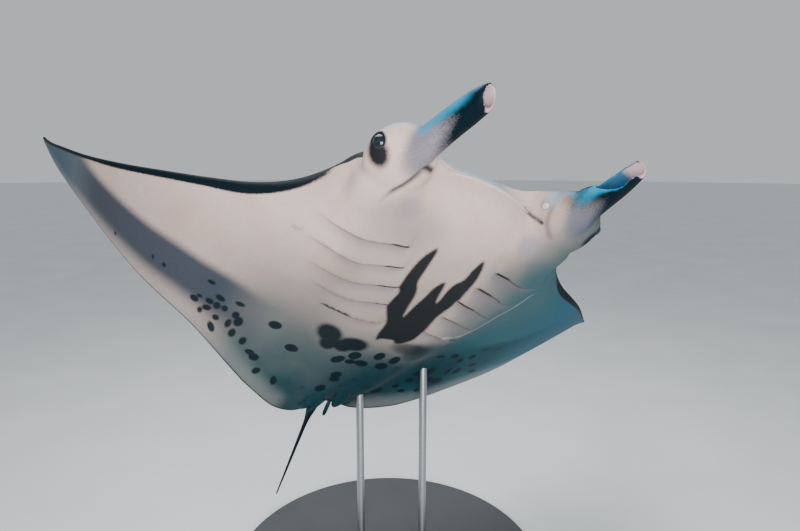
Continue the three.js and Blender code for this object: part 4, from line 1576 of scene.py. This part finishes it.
    def streak(self, flat: Points) -> Points:
        """The distance out of the three joined streaks between the gills.

        Args:
            flat: Flat points.

        Returns:
            Distances, which are below zero inside a streak.
        """
        knots = [*self.streaks, self.streaks[0]]
        outline = Curve(tuple((i, *knot) for i, knot in enumerate(knots)))
        ends = outline(np.linspace(0, len(self.streaks), 3 * len(self.streaks) + 1))
        result = np.full(len(flat), 99.0)
        box = (flat[:, 0] > -850) & (flat[:, 0] < -260) & (np.abs(flat[:, 1]) < 190) & (flat[:, 2] < 0)
        place = flat[box, :2]
        nearest = np.full(len(place), 1e9)
        inside = np.zeros(len(place), dtype=bool)
        for start, end in zip(ends[:-1], ends[1:]):
            edge = end - start
            part = np.clip((place - start) @ edge / (edge @ edge), 0, 1)
            nearest = np.minimum(nearest, np.hypot(*(place - start - part[:, None] * edge).T))
            crosses = (start[1] > place[:, 1]) != (end[1] > place[:, 1])
            meeting = start[0] + (place[:, 1] - start[1]) * edge[0] / (edge[1] if edge[1] else 1.0)
            inside ^= crosses & (place[:, 0] < meeting)
        result[box] = np.where(inside, -nearest, nearest)
        return result

    def smudge(self, flat: Points) -> Points:
        """Measures the fuzzy blotches and faint spots.

        Args:
            flat: Flat points.

        Returns:
            How dark they are, 0 to 1.
        """
        total = np.zeros(len(flat))
        for x, y, long, wide, _, most in self.blotches:
            reach = np.hypot((flat[:, 0] - x) / long, (flat[:, 1] - y) / wide)
            total = np.maximum(total, most * (1 - smooth(reach, 0.55, 1.35)))
        faint = 0.45 * (1 - smooth(self.spots(flat, self.faint_spots), -6, 5))
        return np.where(flat[:, 2] < 0, np.maximum(total, faint), 0)

    def edge_in(self, flat: Points) -> tuple[Points, Points]:
        """How far in from the disc's edges points lie.

        Args:
            flat: Flat points.

        Returns:
            Distances from the leading edge and from the trailing edge.
        """
        span = np.abs(flat[:, 1])
        slope = (self.disc.leading(span + 5) - self.disc.leading(span - 5)) / 10
        front = (self.disc.leading(span) - flat[:, 0]) / np.sqrt(1 + slope**2)
        return front, (flat[:, 0] - self.disc.trailing(flat[:, 1])) * 0.9

    def back(self, flat: Points) -> Points:
        """How far points lie inside the dark back.

        Args:
            flat: Flat points.

        Returns:
            Distances, which are below zero on the belly.
        """
        x, y, z = flat.T
        span = np.abs(y)
        front, rear = self.edge_in(flat)
        rim = np.where(y < 0, self.rim_right(span), self.rim_left(span))
        under = np.maximum(rim - front, 5 - rear)
        wings = np.where(z > 0, np.minimum(front + rim, rear + 5), under)
        cheek = 26 * smooth(y, 150, 220) * (1 - smooth(y, 300, 360))
        top = self.head_top(span) + cheek + 43 * smooth(-x, 150, 200) * smooth(span, 300, 340)
        over = z - top
        part = smooth(x, -262, -205)
        whip = np.abs(y + 16 - 0.185 * (-1400 - x)) < 38
        behind = (x < -1300) & ((z > 42) | (whip & (x < -1400) & (z > -34)))
        return np.where(behind, 40.0, wings + (over - wings) * part)

    def shoulder(self, flat: Points) -> Points:
        """Measures the two pale shoulder patches.

        Args:
            flat: Flat points.

        Returns:
            How strong they are, 0 to 1.
        """
        x, y, z = flat.T
        span = np.abs(y)
        along, across = x + 430 + 0.45 * (span - 300), span - 330
        patch = 1 - smooth(np.hypot(along / np.where(along > 0, 85, 230), across / 225), 0.2, 1.15)
        return np.where(z > 20, patch * smooth(span, 90, 190), 0)

    def sea_shade_tint(self, flat: Points) -> Points:
        """How strongly the left side's painted shade takes the blue green of the sea's light, 0 to 1."""
        x, y, z = flat.T
        return np.where(z < 0, smooth(y, 170, 430) * smooth(-x, 120, 330), 0)

    def band(self, flat: Points) -> Points:
        """Measures the grey band across the right wing.

        Args:
            flat: Flat points.

        Returns:
            How strong it is, 0 to 1.
        """
        x, y, z = flat.T
        span = np.abs(y)
        behind = self.band_right(span) - x
        right = smooth(behind, -24, 42) * smooth(span, 330, 620) * (1 - 0.9 * smooth(behind, 180, 330))
        right *= 1 - 0.25 * smooth(span, 1150, 1350)
        return np.where((z < 0) & (y < 0), right, 0)

    def deep_band_and_shade(self, flat: Points) -> Points:
        """Measures the dark sea green under the left wing and the rear: the left wing's own dark band deepened by
        painted shade, and painted shade over the rear, the tail's root and the pelvic fins.

        Args:
            flat: Flat points.

        Returns:
            How strong it is, 0 to 1.
        """
        x, y, z = flat.T
        behind = self.band_left(y) - x
        width = 130 + 150 * smooth(y, 300, 620) + 900 * smooth(y, 780, 900)
        ramp = smooth(behind, -22, 42) * (1 - smooth(behind, width - 60, width + 60))
        inner = 0.8 - 0.35 * smooth(y, 230, 330) + 0.35 * smooth(y, 420, 600)
        rear = smooth(-x, 700, 1000) * smooth(y, -330, 90) * (1 - smooth(y, 420, 620))
        rear *= 1 - 0.55 * smooth(-x, 1100, 1250) * smooth(y, 150, 350)
        tail = 0.5 * smooth(-x, 1150, 1350) * (1 - smooth(np.abs(y), 200, 330))
        fins = 0.8 * (1 - smooth(np.hypot((x + 1345) / 130, (np.abs(y) - 48) / 66), 0.6, 1.1))
        band = ramp * inner * smooth(y, 30, 130)
        return np.where(z < 0, np.maximum.reduce([band, 0.95 * rear, tail, fins]), 0)

    def painted_shade(self, flat: Points) -> Points:
        """Measures the painted shade: the cream belly turned grey green where the light falls off, towards the rear,
        the left side and the throat.

        Args:
            flat: Flat points.

        Returns:
            How far the cream has turned to painted shade, 0 to 1.
        """
        x, y, z = flat.T
        span = np.abs(y)
        wing = self.fall_wing(-x) * (1 - 0.72 * smooth(span, 430, 760))
        rear = self.fall_body(-x) + (wing - self.fall_body(-x)) * smooth(span, 300, 430)
        back = smooth(-x, 200, 340)
        left = self.fall_cheek(y) + (self.fall_left(y) - self.fall_cheek(y)) * back
        # Painted shade in the throat, where the belly turns away from the light.
        throat_shade = 0.3 * (1 - smooth(np.hypot((x + 265) / 100, (y + 215) / 150), 0.3, 1.2))
        rear = 1 - (1 - rear) * (1 - throat_shade)
        return np.where(z < 0, 1 - (1 - rear) * (1 - left * (y > 0)), 0)


@dataclass(frozen=True)
class Relief:
    """The small forms of the skin: gill flaps, lips, nostrils, eyelids and folds."""

    head: Head
    gills: Gills = Gills()
    folds: tuple[tuple[Triple, ...], ...] = (
        ((-58, -262, -150), (-77, -279, -160), (-136, -302, -156), (-197, -330, -141), (-225, -338, -138)),
        ((-60, 230, -100), (-112, 236, -128), (-145, 266, -150)),
        ((-120, 174, -68), (-124, 196, -76), (-125, 210, -86), (-120, 229, -115)),
        ((-72, -281, -152), (-73, -265, -146), (-80, -245, -140)),
    )
    web: tuple[Triple, ...] = (
        (18, 270, -122), (-8, 270, -92), (-39, 272, -48), (-82, 228, -40),
    )
    web_up: Triple = (0.69, -0.26, 0.68)
    fold_depths: tuple[float, ...] = (9.0, 5.0, 4.0, 3.0)
    fold_widths: tuple[float, ...] = (11.0, 13.0, 8.0, 13.0)
    # How dark the painted shade along each fold is.
    fold_shade: tuple[float, ...] = (0.72, 0.4, 0.85, 0.8)
    nostril: Triple = (-76.0, 231.0, -74.0)
    nostril_radius: float = 13.0
    nostril_height: float = 8.0
    nostril_groove: float = 3.0
    eye_out: Triple = (0.36, 0.92, -0.16)
    lid_radius: float = 25.0
    lid_height: float = 3.4
    socket_depth: float = 9.0
    lip_bead: float = 5.0
    lip_height: float = 2.4
    ridge_width: float = 19.0
    ridge_height: float = 4.5
    web_reach: float = 88.0
    web_push: float = 14.0
    web_push_front: float = 7.0
    gill_passes: int = 4

    def mirrored(self, place: Sequence[float], side: Side) -> Points:
        """A point or direction given for the left side, on either side."""
        return np.array([place[0], side.value * place[1], place[2]])

    def eye_axis(self, side: Side) -> Points:
        """The direction that an eye looks in."""
        out = self.mirrored(self.eye_out, side)
        return out / np.linalg.norm(out)

    def nostril_distance(self, flat: Points, side: Side) -> Points:
        """The distance from one nostril's centre."""
        return np.linalg.norm(flat - self.mirrored(self.nostril, side), axis=1)

    def lip_distance(self, flat: Points) -> Points:
        """How far points lie from the lower lip's line.

        Args:
            flat: Flat points.

        Returns:
            Their distances.
        """
        head = self.head
        y = np.clip(flat[:, 1], -head.mouth_half_width, head.mouth_half_width)
        line_z = head.mouth(y) - 8
        (jx, _, jz), (rx, ry, rz) = head.jaw_centre, head.jaw_radii
        jaw = jx + rx * np.sqrt(np.clip(1 - (y / ry) ** 2 - ((line_z - jz) / rz) ** 2, 0, 1))
        return np.sqrt((flat[:, 0] - (jaw - 1)) ** 2 + (flat[:, 1] - y) ** 2 + (flat[:, 2] - line_z) ** 2)

    def corner_distance(self, flat: Points) -> Points:
        """How far points lie from the mouth's nearer corner.

        Args:
            flat: Flat points.

        Returns:
            Their distances.
        """
        head = self.head
        across = np.abs(flat[:, 1]) - head.mouth_half_width + 8
        height = flat[:, 2] - head.mouth(flat[:, 1])
        return np.sqrt((flat[:, 0] + 119) ** 2 + across**2 + height**2)

    def fold_distance(self, flat: Points, fold: Knots) -> Points:
        """How far points lie from a fold's line.

        Args:
            flat: Flat points.
            fold: The points that the line runs through.

        Returns:
            Their distances.
        """
        nearest = np.full(len(flat), 1e9)
        for start, end in zip(np.asarray(fold[:-1], float), np.asarray(fold[1:], float)):
            part = np.clip((flat - start) @ (end - start) / ((end - start) @ (end - start)), 0, 1)
            away = flat - start - part[:, None] * (end - start)
            nearest = np.minimum(nearest, np.linalg.norm(away, axis=1))
        return nearest

    def ridge_distance(self, flat: Points) -> Points:
        """The distance across the belly from the ridge outside the left gills."""
        return np.where(flat[:, 2] < 0, self.fold_distance(flat[:, :2], self.gills.left_end.knots), 99.0)

    def eye_place(self, flat: Points, side: Side, centre: Points) -> tuple[Points, Points]:
        """Where points lie by an eye.

        Args:
            flat: Flat points.
            side: Which eye.
            centre: The eye's centre.

        Returns:
            Their distances from the eye's axis, and along it from its centre.
        """
        out = self.eye_axis(side)
        along = (flat - centre) @ out
        return np.linalg.norm(flat - centre - along[:, None] * out, axis=1), along

    def near(self, flat: Points, eyes: dict[Side, Points], gill_reach: float) -> Points:
        """True for points close to a small form.

        Args:
            flat: Flat points.
            eyes: The eyes' centres.
            gill_reach: How close is close for a gill slit.

        Returns:
            One truth value for each point.
        """
        close = self.gills.near(flat, gill_reach) | (self.ridge_distance(flat) < 13)
        close |= (self.lip_distance(flat) < 16) | (self.corner_distance(flat) < 26)
        for side in Side:
            close |= self.nostril_distance(flat, side) < 36
            across, along = self.eye_place(flat, side, eyes[side])
            close |= (across < 38) & (along > -20)
        return close

    def shape(self, mesh: Mesh, eyes: dict[Side, Points]) -> None:
        """Raises the small forms out of the skin.

        Args:
            mesh: The flat skin.
            eyes: The eyes' centres.
        """
        flat, normals = read_points(mesh), read_normals(mesh)
        height = spread(mesh, self.gills.height(flat), self.gill_passes)
        front = flat[:, 0] > -200
        height += self.lip_height * swell(self.lip_distance(flat), self.lip_bead) * front
        height += self.ridge_height * swell(self.ridge_distance(flat), self.ridge_width)
        for fold, depth, width in zip(self.folds, self.fold_depths, self.fold_widths):
            height -= depth * swell(self.fold_distance(flat, fold), width)
        push = self.web_push + self.web_push_front * smooth(flat[:, 0], -85, 0)
        stretched = (1 - smooth(self.fold_distance(flat, self.web), 4, self.web_reach)) * push
        moved = stretched[:, None] * np.asarray(self.web_up)
        for side in Side:
            far = self.nostril_distance(flat, side)
            mound = self.nostril_height * (1 - smooth(far, 6, self.nostril_radius))
            height += mound - self.nostril_groove * swell(far - 20, 5)
            across, along = self.eye_place(flat, side, eyes[side])
            lid = self.lid_height * swell(across - self.lid_radius, 5)
            lid -= self.socket_depth * (1 - smooth(across, 13, 19))
            moved += (lid * (along > -12))[:, None] * self.eye_axis(side)
        write_points(mesh, flat + normals * height[:, None] + moved)


# -------- the animal


@dataclass(frozen=True)
class Manta:
    """The whole animal under one skin, and its two eyes."""

    disc: Disc = Disc()
    head: Head = Head()
    rear: Rear = Rear()
    pose: Pose = Pose()
    skin_finish: SkinFinish = SkinFinish()
    eye_finish: EyeFinish = EyeFinish()
    eye_radius: float = 26.0
    coarse: float = 7.0
    fine: float = 4.8
    mark_edge: float = 6.5
    patch_centre: Triple = (-90.0, 419.0, -136.0)
    patch_axis: Triple = (-0.68, -0.40, -0.62)
    patch_radii: tuple[float, float] = (50.0, 36.0)
    fin_up: Triple = (0.0, 0.2, 0.98)
    # The direction from which the painted sky sheen falls.
    sky_up: Triple = (0.15, -0.3, 0.94)

    @property
    def marks(self) -> Marks:
        """The marks, as they lie on this disc."""
        return Marks(self.disc)

    @property
    def relief(self) -> Relief:
        """The small forms, as they lie on this head."""
        return Relief(self.head)

    def eye_centre(self, side: Side) -> Points:
        """Reads an eye's centre from its node.

        Args:
            side: Which eye.

        Returns:
            The centre in the flat frame.
        """
        low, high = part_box(f"eye_{side.name.lower()}")
        middle = (np.asarray(low) + np.asarray(high)) / 2 / MM - np.asarray(self.pose.origin)
        return middle @ self.pose.turn()

    def build_eye(self, side: Side) -> Object:
        """One eye: a globe with a low clear bulge over its iris.

        Args:
            side: Which eye.

        Returns:
            The eye in its place.
        """
        centre = self.eye_centre(side)
        mesh = ball(f"eye_globe_{side.name.lower()}", (0, 0, 0), (1, 1, 1), 5)
        globe = read_points(mesh)
        turn = np.degrees(np.arccos(np.clip(globe @ self.relief.eye_axis(side), -1, 1)))
        radius = self.eye_radius * (0.965 + 0.035 * (1 - smooth(turn, 12, 34)))
        store(mesh, "turn", turn)
        write_points(mesh, self.pose.placed(centre + globe * radius[:, None]))
        shade_smooth(mesh)
        mesh.materials.append(self.eye_finish.build())
        return object_of(mesh)

    def keep_fields(self, mesh: Mesh, eyes: dict[Side, Points]) -> None:
        """Measures the marks, and the light and shade painted into the colour, on the flat skin and keeps them for
        its finish.

        Args:
            mesh: The flat skin.
            eyes: The eyes' centres.
        """
        flat, normals = read_points(mesh), read_normals(mesh)
        marks, relief = self.marks, self.relief
        x, y, z = flat.T
        store_vectors(mesh, "flat", flat * MM)
        store(mesh, "spot", np.minimum(marks.spots(flat, marks.dark_spots), 30))
        store(mesh, "streak", np.minimum(marks.streak(flat), 30))
        store(mesh, "back", np.clip(marks.back(flat), -60, 60))
        # The belly's grey-green falloff, the sea's blue green on the left side and the dark sea green over the rear
        # are painted shade, the last with the left wing's own dark band in it; the smudges, the right wing's band and
        # the shoulder patches are the animal's own marks.
        for name in ("smudge", "band", "painted_shade", "deep_band_and_shade", "sea_shade_tint", "shoulder"):
            store(mesh, name, getattr(marks, name)(flat))
        _, rear = marks.edge_in(flat)
        edge = smooth(-x, 800, 1000) * smooth(np.abs(y), 110, 200)
        store(mesh, "margin", (1 - smooth(rear, 30, 170)) * (z < 0) * edge)
        # Painted shade in the head's folds and recesses.
        store(mesh, "crease_shade", self.head_crease_shade(flat))
        patch = np.zeros(len(flat))
        long, wide = self.patch_radii
        for side in Side:
            across, along = relief.eye_place(flat, side, eyes[side])
            offset = flat - relief.mirrored(self.patch_centre, side)
            drawn = relief.mirrored(self.patch_axis, side)
            length = offset @ drawn
            width = np.linalg.norm(offset - length[:, None] * drawn, axis=1)
            patch = np.maximum(patch, 1 - smooth(np.hypot(length / long, width / wide), 0.4, 1.4))
            patch = np.maximum(patch, (1 - smooth(across, 20, 34)) * (along > -10))
        store(mesh, "eye_patch", patch)
        # The slits' dark lines are painted shade in their openings.
        slit, slit_shade = relief.gills.lines(flat)
        # Painted shade in the hollow behind each gill flap.
        store(mesh, "flap", 0.8 * spread(mesh, relief.gills.hollows(flat), 1))
        store(mesh, "slit", slit)
        store(mesh, "slit_shade", slit_shade)
        # Painted highlights: along the lower lip's bead, round each nostril's rim, and fainter along the ridge
        # outside the left gills.
        nostril = np.min([relief.nostril_distance(flat, side) for side in Side], 0)
        light = np.maximum(swell(relief.lip_distance(flat), 5), 0.8 * swell(nostril - 11, 3.5)) * (x > -200)
        ridge = swell(relief.ridge_distance(flat), 13) * smooth(-x, 330, 420)
        store(mesh, "lip", np.maximum(light, 0.4 * ridge))
        strip = smooth(z - self.head.mouth(y), 0, 12) * (x > -190)
        store(mesh, "strip", strip * (1 - smooth(np.abs(y + 70), 130, 200)))
        # Painted shade: a blue cast over the outer right wing and over the left wing.
        store(mesh, "tip_shade", 0.8 * smooth(-y, 1130, 1420) + smooth(y, 480, 900))
        # Lavender speckled patches behind the mouth corners: partly their own speckle, partly painted shade under the
        # fin roots.
        lavender_speckle_shade = [np.hypot((x + 226) / 52, (y + 240) / 50), np.hypot((x + 212) / 48, (y - 232) / 56)]
        store(mesh, "lavender_speckle_shade", (1 - smooth(np.min(lavender_speckle_shade, axis=0), 0.3, 1.3)) * (z < 0))
        self.keep_fins(mesh, flat, normals)

    def head_crease_shade(self, flat: Points) -> Points:
        """Measures the painted shade in the head's folds and recesses: the mouth's corners, round and in the
        nostrils, and along the folds.

        Args:
            flat: Flat points.

        Returns:
            How dark the painted shade is, 0 to 1.
        """
        relief = self.relief
        dark = 0.45 * swell(relief.corner_distance(flat), 10) * (flat[:, 0] > -190)
        for side in Side:
            far = relief.nostril_distance(flat, side)
            dark = np.maximum(dark, 0.32 * swell(far - 17, 4.5) + 0.35 * (1 - smooth(far, 3, 9)))
        for fold, width, most in zip(relief.folds, relief.fold_widths, relief.fold_shade):
            dark = np.maximum(dark, most * swell(relief.fold_distance(flat, fold), width))
        return dark

    def keep_fins(self, mesh: Mesh, flat: Points, normals: Points) -> None:
        """Measures the cephalic fins' own colours, the painted shade inside their rolls and the painted sky sheen,
        and keeps them for the skin's finish.

        Args:
            mesh: The flat skin.
            flat: Its points.
            normals: Its outward directions.
        """
        dark, inside, pink, root, sheen = (np.zeros(len(flat)) for _ in range(5))
        front = (flat[:, 0] > -140) & (np.abs(flat[:, 1]) > 225)
        for fin in (self.head.right_fin, self.head.left_fin):
            here = front & (flat[:, 1] * fin.side.value > 0)
            place = flat[here]
            along, angle, reach = fin.local(place)
            radius = fin.path(along)[:, 2]
            upper = smooth(normals[here] @ np.array(self.fin_up), -0.3, 0.7)
            away = np.abs((angle - fin.tongue_at + 180) % 360 - 180)
            dark[here] = along - fin.dark_from + fin.dark_over * upper - 80 * swell(away, 46)
            out = place - fin.frames(along)["centre"]
            # Walls facing into the roll, deep inside it, get painted shade.
            turned_in = smooth(-np.sum(out * normals[here], axis=1) / np.maximum(reach, 1), 0.1, 0.5)
            hollow = turned_in * (reach < radius - 4) * (along > 20)
            inside[here] = hollow
            far = smooth(out[:, 1] / radius, -0.1, 0.5)
            pink[here] = smooth(along, 140, 205) * np.maximum(hollow, (reach < radius - 1.5) * far)
            flank = 1 - smooth(reach - radius, -4, 16)
            root[here] = flank * smooth(along, -150, -40) * fin.root_cover
            # Painted sheen along the outer wall over the roll's middle, where the sky's light would catch it.
            lit = smooth(along, -40, 60) * (1 - smooth(along, 150, 225))
            sheen[here] = lit * flank * (reach > radius - 6.5)
        store(mesh, "fin", np.where(front, np.clip(dark, -120, 120), -120))
        store(mesh, "inside", inside)
        store(mesh, "pink", spread(mesh, pink, 2))
        store(mesh, "root", spread(mesh, root, 6))
        # Painted sky sheen: upward faces at the front of the head, and the fins' sheen where it faces up, but neither
        # faces turned straight up nor the dark back.
        upward = spread(mesh, normals @ np.array(self.sky_up), 10)
        below = 1 - smooth(upward, 0.55, 0.85)
        edge = 0.45 * smooth(upward, 0.0, 0.5) * smooth(flat[:, 0], -190, -120)
        sky_sheen = np.maximum(edge, spread(mesh, sheen, 4) * smooth(upward, -0.5, 0.45))
        store(mesh, "sky_sheen", sky_sheen * below * (1 - smooth(self.marks.back(flat), -4, 4)))

    def build_skin(self) -> Object:
        """Joins, refines, shapes and marks the skin, then bends it and puts it in its place.

        Returns:
            The skin, which stands for every node of flesh.
        """
        disc = self.disc.build()
        head = self.head.build(disc)
        places = read_points(disc)
        x, span = places[:, 0], np.abs(places[:, 1])
        sunk = smooth(-x, 392, 335) * (1 - smooth(span, 408, 446) * smooth(-x, 184, 196))
        write_points(disc, places - read_normals(disc) * (self.head.sink * sunk)[:, None])
        LOG.info("disc %d and head %d faces", len(disc.polygons), len(head.polygons))
        skin = combined(disc, head, Joining.ADD)
        places = read_points(skin)
        x, span = places[:, 0], np.abs(places[:, 1])
        across = swell(x + 372, 62) * (1 - smooth(span, 455, 500))
        along = swell(span - 428, 34) * smooth(-x, 170, 200) * (1 - smooth(-x, 440, 500))
        relax(skin, np.clip(1.6 * np.maximum(across, along), 0, 1), 36)
        for piece in self.rear.build():
            skin = combined(skin, piece, Joining.ADD)
        eyes = {side: self.eye_centre(side) for side in Side}
        relief, marks = self.relief, self.marks
        for longest, gill_reach in ((self.coarse, 18), (self.fine, 9)):
            split_near(skin, relief.near(read_points(skin), eyes, gill_reach), longest)
        flat = read_points(skin)
        edge = np.minimum(np.abs(marks.spots(flat, marks.dark_spots)), np.abs(marks.streak(flat)))
        split_near(skin, edge < 9, self.mark_edge)
        relief.shape(skin, eyes)
        self.keep_fields(skin, eyes)
        skin.name = "manta_skin"
        write_points(skin, self.pose.placed(self.pose.bent(read_points(skin))))
        shade_smooth(skin)
        skin.materials.clear()
        skin.materials.append(self.skin_finish.build())
        return object_of(skin)


# -------- the stand


@dataclass(frozen=True)
class Stand:
    """A round steel base and two upright rods, each in a screwed foot. Sizes in millimetres."""

    base_radius: float = 700.0
    base_height: float = 40.0
    base_round: float = 7.0
    rod_radius: float = 17.0
    foot_radius: float = 62.0
    foot_height: float = 16.0
    foot_bevel: float = 3.0
    collar_radius: float = 24.0
    collar_height: float = 22.0
    screw_radius: float = 6.5
    screw_ring: float = 45.0
    screw_height: float = 4.0
    socket_radius: float = 3.2
    reach_in: float = 8.0
    coat: PowderCoat = PowderCoat()
    steel: BrushedSteel = BrushedSteel()

    def spun(self, bm: BMesh, profile: Knots, centre: Sequence[float], steps: int) -> None:
        """Adds a turned form to a bmesh.

        Args:
            bm: The bmesh to add to.
            profile: [radius, height] points from the axis out and back to it.
            centre: The axis's x and y.
            steps: How many steps make the full turn.
        """
        verts = [bm.verts.new((centre[0] + r, centre[1], z)) for r, z in profile]
        edges = [bm.edges.new(pair) for pair in zip(verts, verts[1:])]
        bmesh.ops.spin(
            bm, geom=verts + edges, cent=(*centre, 0), axis=(0, 0, 1), dvec=(0, 0, 0),
            angle=2 * math.pi, steps=steps, use_merge=True,
        )
        bmesh.ops.remove_doubles(bm, verts=bm.verts, dist=0.001)

    def rounded(self, bm: BMesh, sharp: float, width: float, segments: int) -> None:
        """Rounds every edge that turns more than an angle.

        Args:
            bm: The bmesh to round.
            sharp: The least turn in radians.
            width: The rounding's width.
            segments: How many faces make it.
        """
        edges = [e for e in bm.edges if len(e.link_faces) == 2 and e.calc_face_angle() > sharp]
        bmesh.ops.bevel(
            bm, geom=edges, affect="EDGES", offset=width, segments=segments, profile=0.5, material=-1
        )

    def finished(self, name: str, bm: BMesh, material: Material) -> Object:
        """Closes a bmesh in millimetres into an object in metres, smooth over its roundings.

        Args:
            name: The object's name.
            bm: The bmesh, which is freed.
            material: Its finish.

        Returns:
            The object.
        """
        bmesh.ops.recalc_face_normals(bm, faces=bm.faces)
        bmesh.ops.scale(bm, verts=bm.verts, vec=(MM, MM, MM))
        mesh = mesh_from(name, bm)
        shade_smooth(mesh)
        mesh.set_sharp_from_angle(angle=math.radians(40))
        mesh.materials.append(material)
        return object_of(mesh)

    def build_base(self) -> Object:
        """Turns the round base plate and rounds its edges.

        Returns:
            The base's object.
        """
        bm = bmesh.new()
        r, h = self.base_radius, self.base_height
        profile = ((0, 0), (r - 260, 0), (r, 0), (r, h), (r - 24, h), (r - 260, h), (0, h))
        self.spun(bm, profile, (0, 0), 144)
        self.rounded(bm, 0.5, self.base_round, 4)
        return self.finished("stand_base_plate", bm, self.coat.build())

    def build_rod(self, rod: Rod, material: Material) -> Object:
        """One rod with its foot, collar and screws.

        Args:
            rod: Which rod.
            material: The steel.

        Returns:
            The rod's object.
        """
        where = rod.value
        low, high = (np.asarray(corner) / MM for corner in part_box(f"stand_rod_{where}"))
        centre = ((low[0] + high[0]) / 2, (low[1] + high[1]) / 2)
        bottom, top = low[2], high[2] + self.reach_in
        foot = bottom + self.foot_height
        collar = foot + self.collar_height
        bm = bmesh.new()
        profile = (
            (0, bottom), (self.foot_radius, bottom), (self.foot_radius, foot), (self.collar_radius, foot),
            (self.collar_radius, collar), (self.rod_radius, collar), (self.rod_radius, top), (0, top),
        )
        self.spun(bm, profile, centre, 64)
        self.rounded(bm, 0.9, self.foot_bevel * 0.7, 3)
        for turn in range(4):
            angle = math.radians(45 + 90 * turn)
            spot = (centre[0] + self.screw_ring * math.cos(angle), centre[1] + self.screw_ring * math.sin(angle))
            self.add_screw(bm, spot, foot)
        return self.finished(f"stand_rod_{where}_steel", bm, material)

    def add_screw(self, bm: BMesh, spot: tuple[float, float], height: float) -> None:
        """Adds one low button-head screw with a round socket.

        Args:
            bm: The bmesh to add to.
            spot: The screw's x and y.
            height: The height of the face it sits on.
        """
        screw = bmesh.new()
        place = Matrix.Translation((*spot, height + self.screw_height / 2 - 0.5))
        bmesh.ops.create_cone(
            screw, cap_ends=True, segments=30, radius1=self.screw_radius, radius2=self.screw_radius * 0.8,
            depth=self.screw_height + 1, matrix=place,
        )
        top = max(screw.faces, key=lambda face: face.calc_center_median().z)
        bmesh.ops.inset_region(screw, faces=[top], thickness=self.screw_radius * 0.8 - self.socket_radius)
        bmesh.ops.translate(screw, verts=top.verts, vec=(0, 0, 0.4))
        floor = bmesh.ops.extrude_discrete_faces(screw, faces=[top])["faces"][0]
        bmesh.ops.translate(screw, verts=floor.verts, vec=(0, 0, -2.4))
        extra = mesh_from("screw", screw)
        bm.from_mesh(extra)
        bpy.data.meshes.remove(extra)

    def build(self) -> dict[str, Object]:
        """Returns: each finished piece under the node that it replaces."""
        steel = self.steel.build()
        return {
            "stand_base": self.build_base(),
            "stand_rod_front": self.build_rod(Rod.FRONT, steel),
            "stand_rod_rear": self.build_rod(Rod.REAR, steel),
        }


# -------- the room


@dataclass(frozen=True)
class Studio:
    """A plain pale floor and backdrop, soft lights, and the camera."""

    eye: Triple = (-1.820, -1.6115, 1.8393)
    right: Triple = (0.64522, -0.76400, 0.00106)
    down: Triple = (-0.13208, -0.11292, -0.98479)
    forward: Triple = (0.75249, 0.63526, -0.17376)
    lens: float = 26.356

    def add_camera(self) -> None:
        """Puts the camera in front of the animal, low under its right wing."""
        data = bpy.data.cameras.new("camera")
        data.lens = self.lens
        data.sensor_width = 36.0
        data.clip_start = 0.05
        camera = bpy.data.objects.new("camera", data)
        right, up, back = Vector(self.right), -Vector(self.down), -Vector(self.forward)
        turn = Matrix((right, up, back)).transposed().to_4x4()
        camera.matrix_world = Matrix.Translation(self.eye) @ turn
        bpy.context.collection.objects.link(camera)
        bpy.context.scene.camera = camera

    def add_light(
        self, name: str, place: Sequence[float], target: Sequence[float], size: float, power: float
    ) -> None:
        """Adds a soft square light.

        Args:
            name: The light's name.
            place: Where it stands.
            target: The point it faces.
            size: Its side in metres.
            power: Its power in watts.
        """
        data = bpy.data.lights.new(name, "AREA")
        data.shape = "SQUARE"
        data.size = size
        data.energy = power
        light = bpy.data.objects.new(name, data)
        aim = (Vector(target) - Vector(place)).to_track_quat("-Z", "Y")
        light.matrix_world = Matrix.Translation(place) @ aim.to_matrix().to_4x4()
        bpy.context.collection.objects.link(light)

    def build(self) -> None:
        """Builds the room round the object."""
        self.add_camera()
        self.add_light("key", (-2.2, -2.3, 1.6), (-0.1, -0.4, 1.5), 1.4, 105)
        self.add_light("top", (0.4, 0.6, 4.4), (0.0, -0.2, 1.4), 3.0, 150)
        world = bpy.data.worlds.new("studio")
        bpy.context.scene.world = world
        world.use_nodes = True
        world.node_tree.nodes["Background"].inputs["Color"].default_value = linear("#e9eef1")
        world.node_tree.nodes["Background"].inputs["Strength"].default_value = 0.65
        bm = bmesh.new()
        bmesh.ops.create_circle(bm, cap_ends=True, segments=96, radius=60.0)
        floor = object_of(mesh_from("floor", bm))
        floor.data.materials.append(StudioFloor().build())


def main() -> None:
    """Builds the object and its room, and reports each piece."""
    logging.basicConfig(level=logging.INFO, format="%(message)s")
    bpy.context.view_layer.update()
    manta = Manta()
    skin = manta.build_skin()
    LOG.info("skin: %d faces", len(skin.data.polygons))
    flesh = [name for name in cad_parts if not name.startswith(("stand_", "eye_"))]
    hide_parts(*flesh)
    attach(skin, "root")
    for side in Side:
        eye = manta.build_eye(side)
        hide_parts(f"eye_{side.name.lower()}")
        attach(eye, "root")
        LOG.info("eye: %s", eye.name)
    for node, piece in Stand().build().items():
        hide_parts(node)
        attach(piece, "root")
        LOG.info("stand: %s, %d faces", piece.name, len(piece.data.polygons))
    Studio().build()


if __name__ == "__main__":
    main()
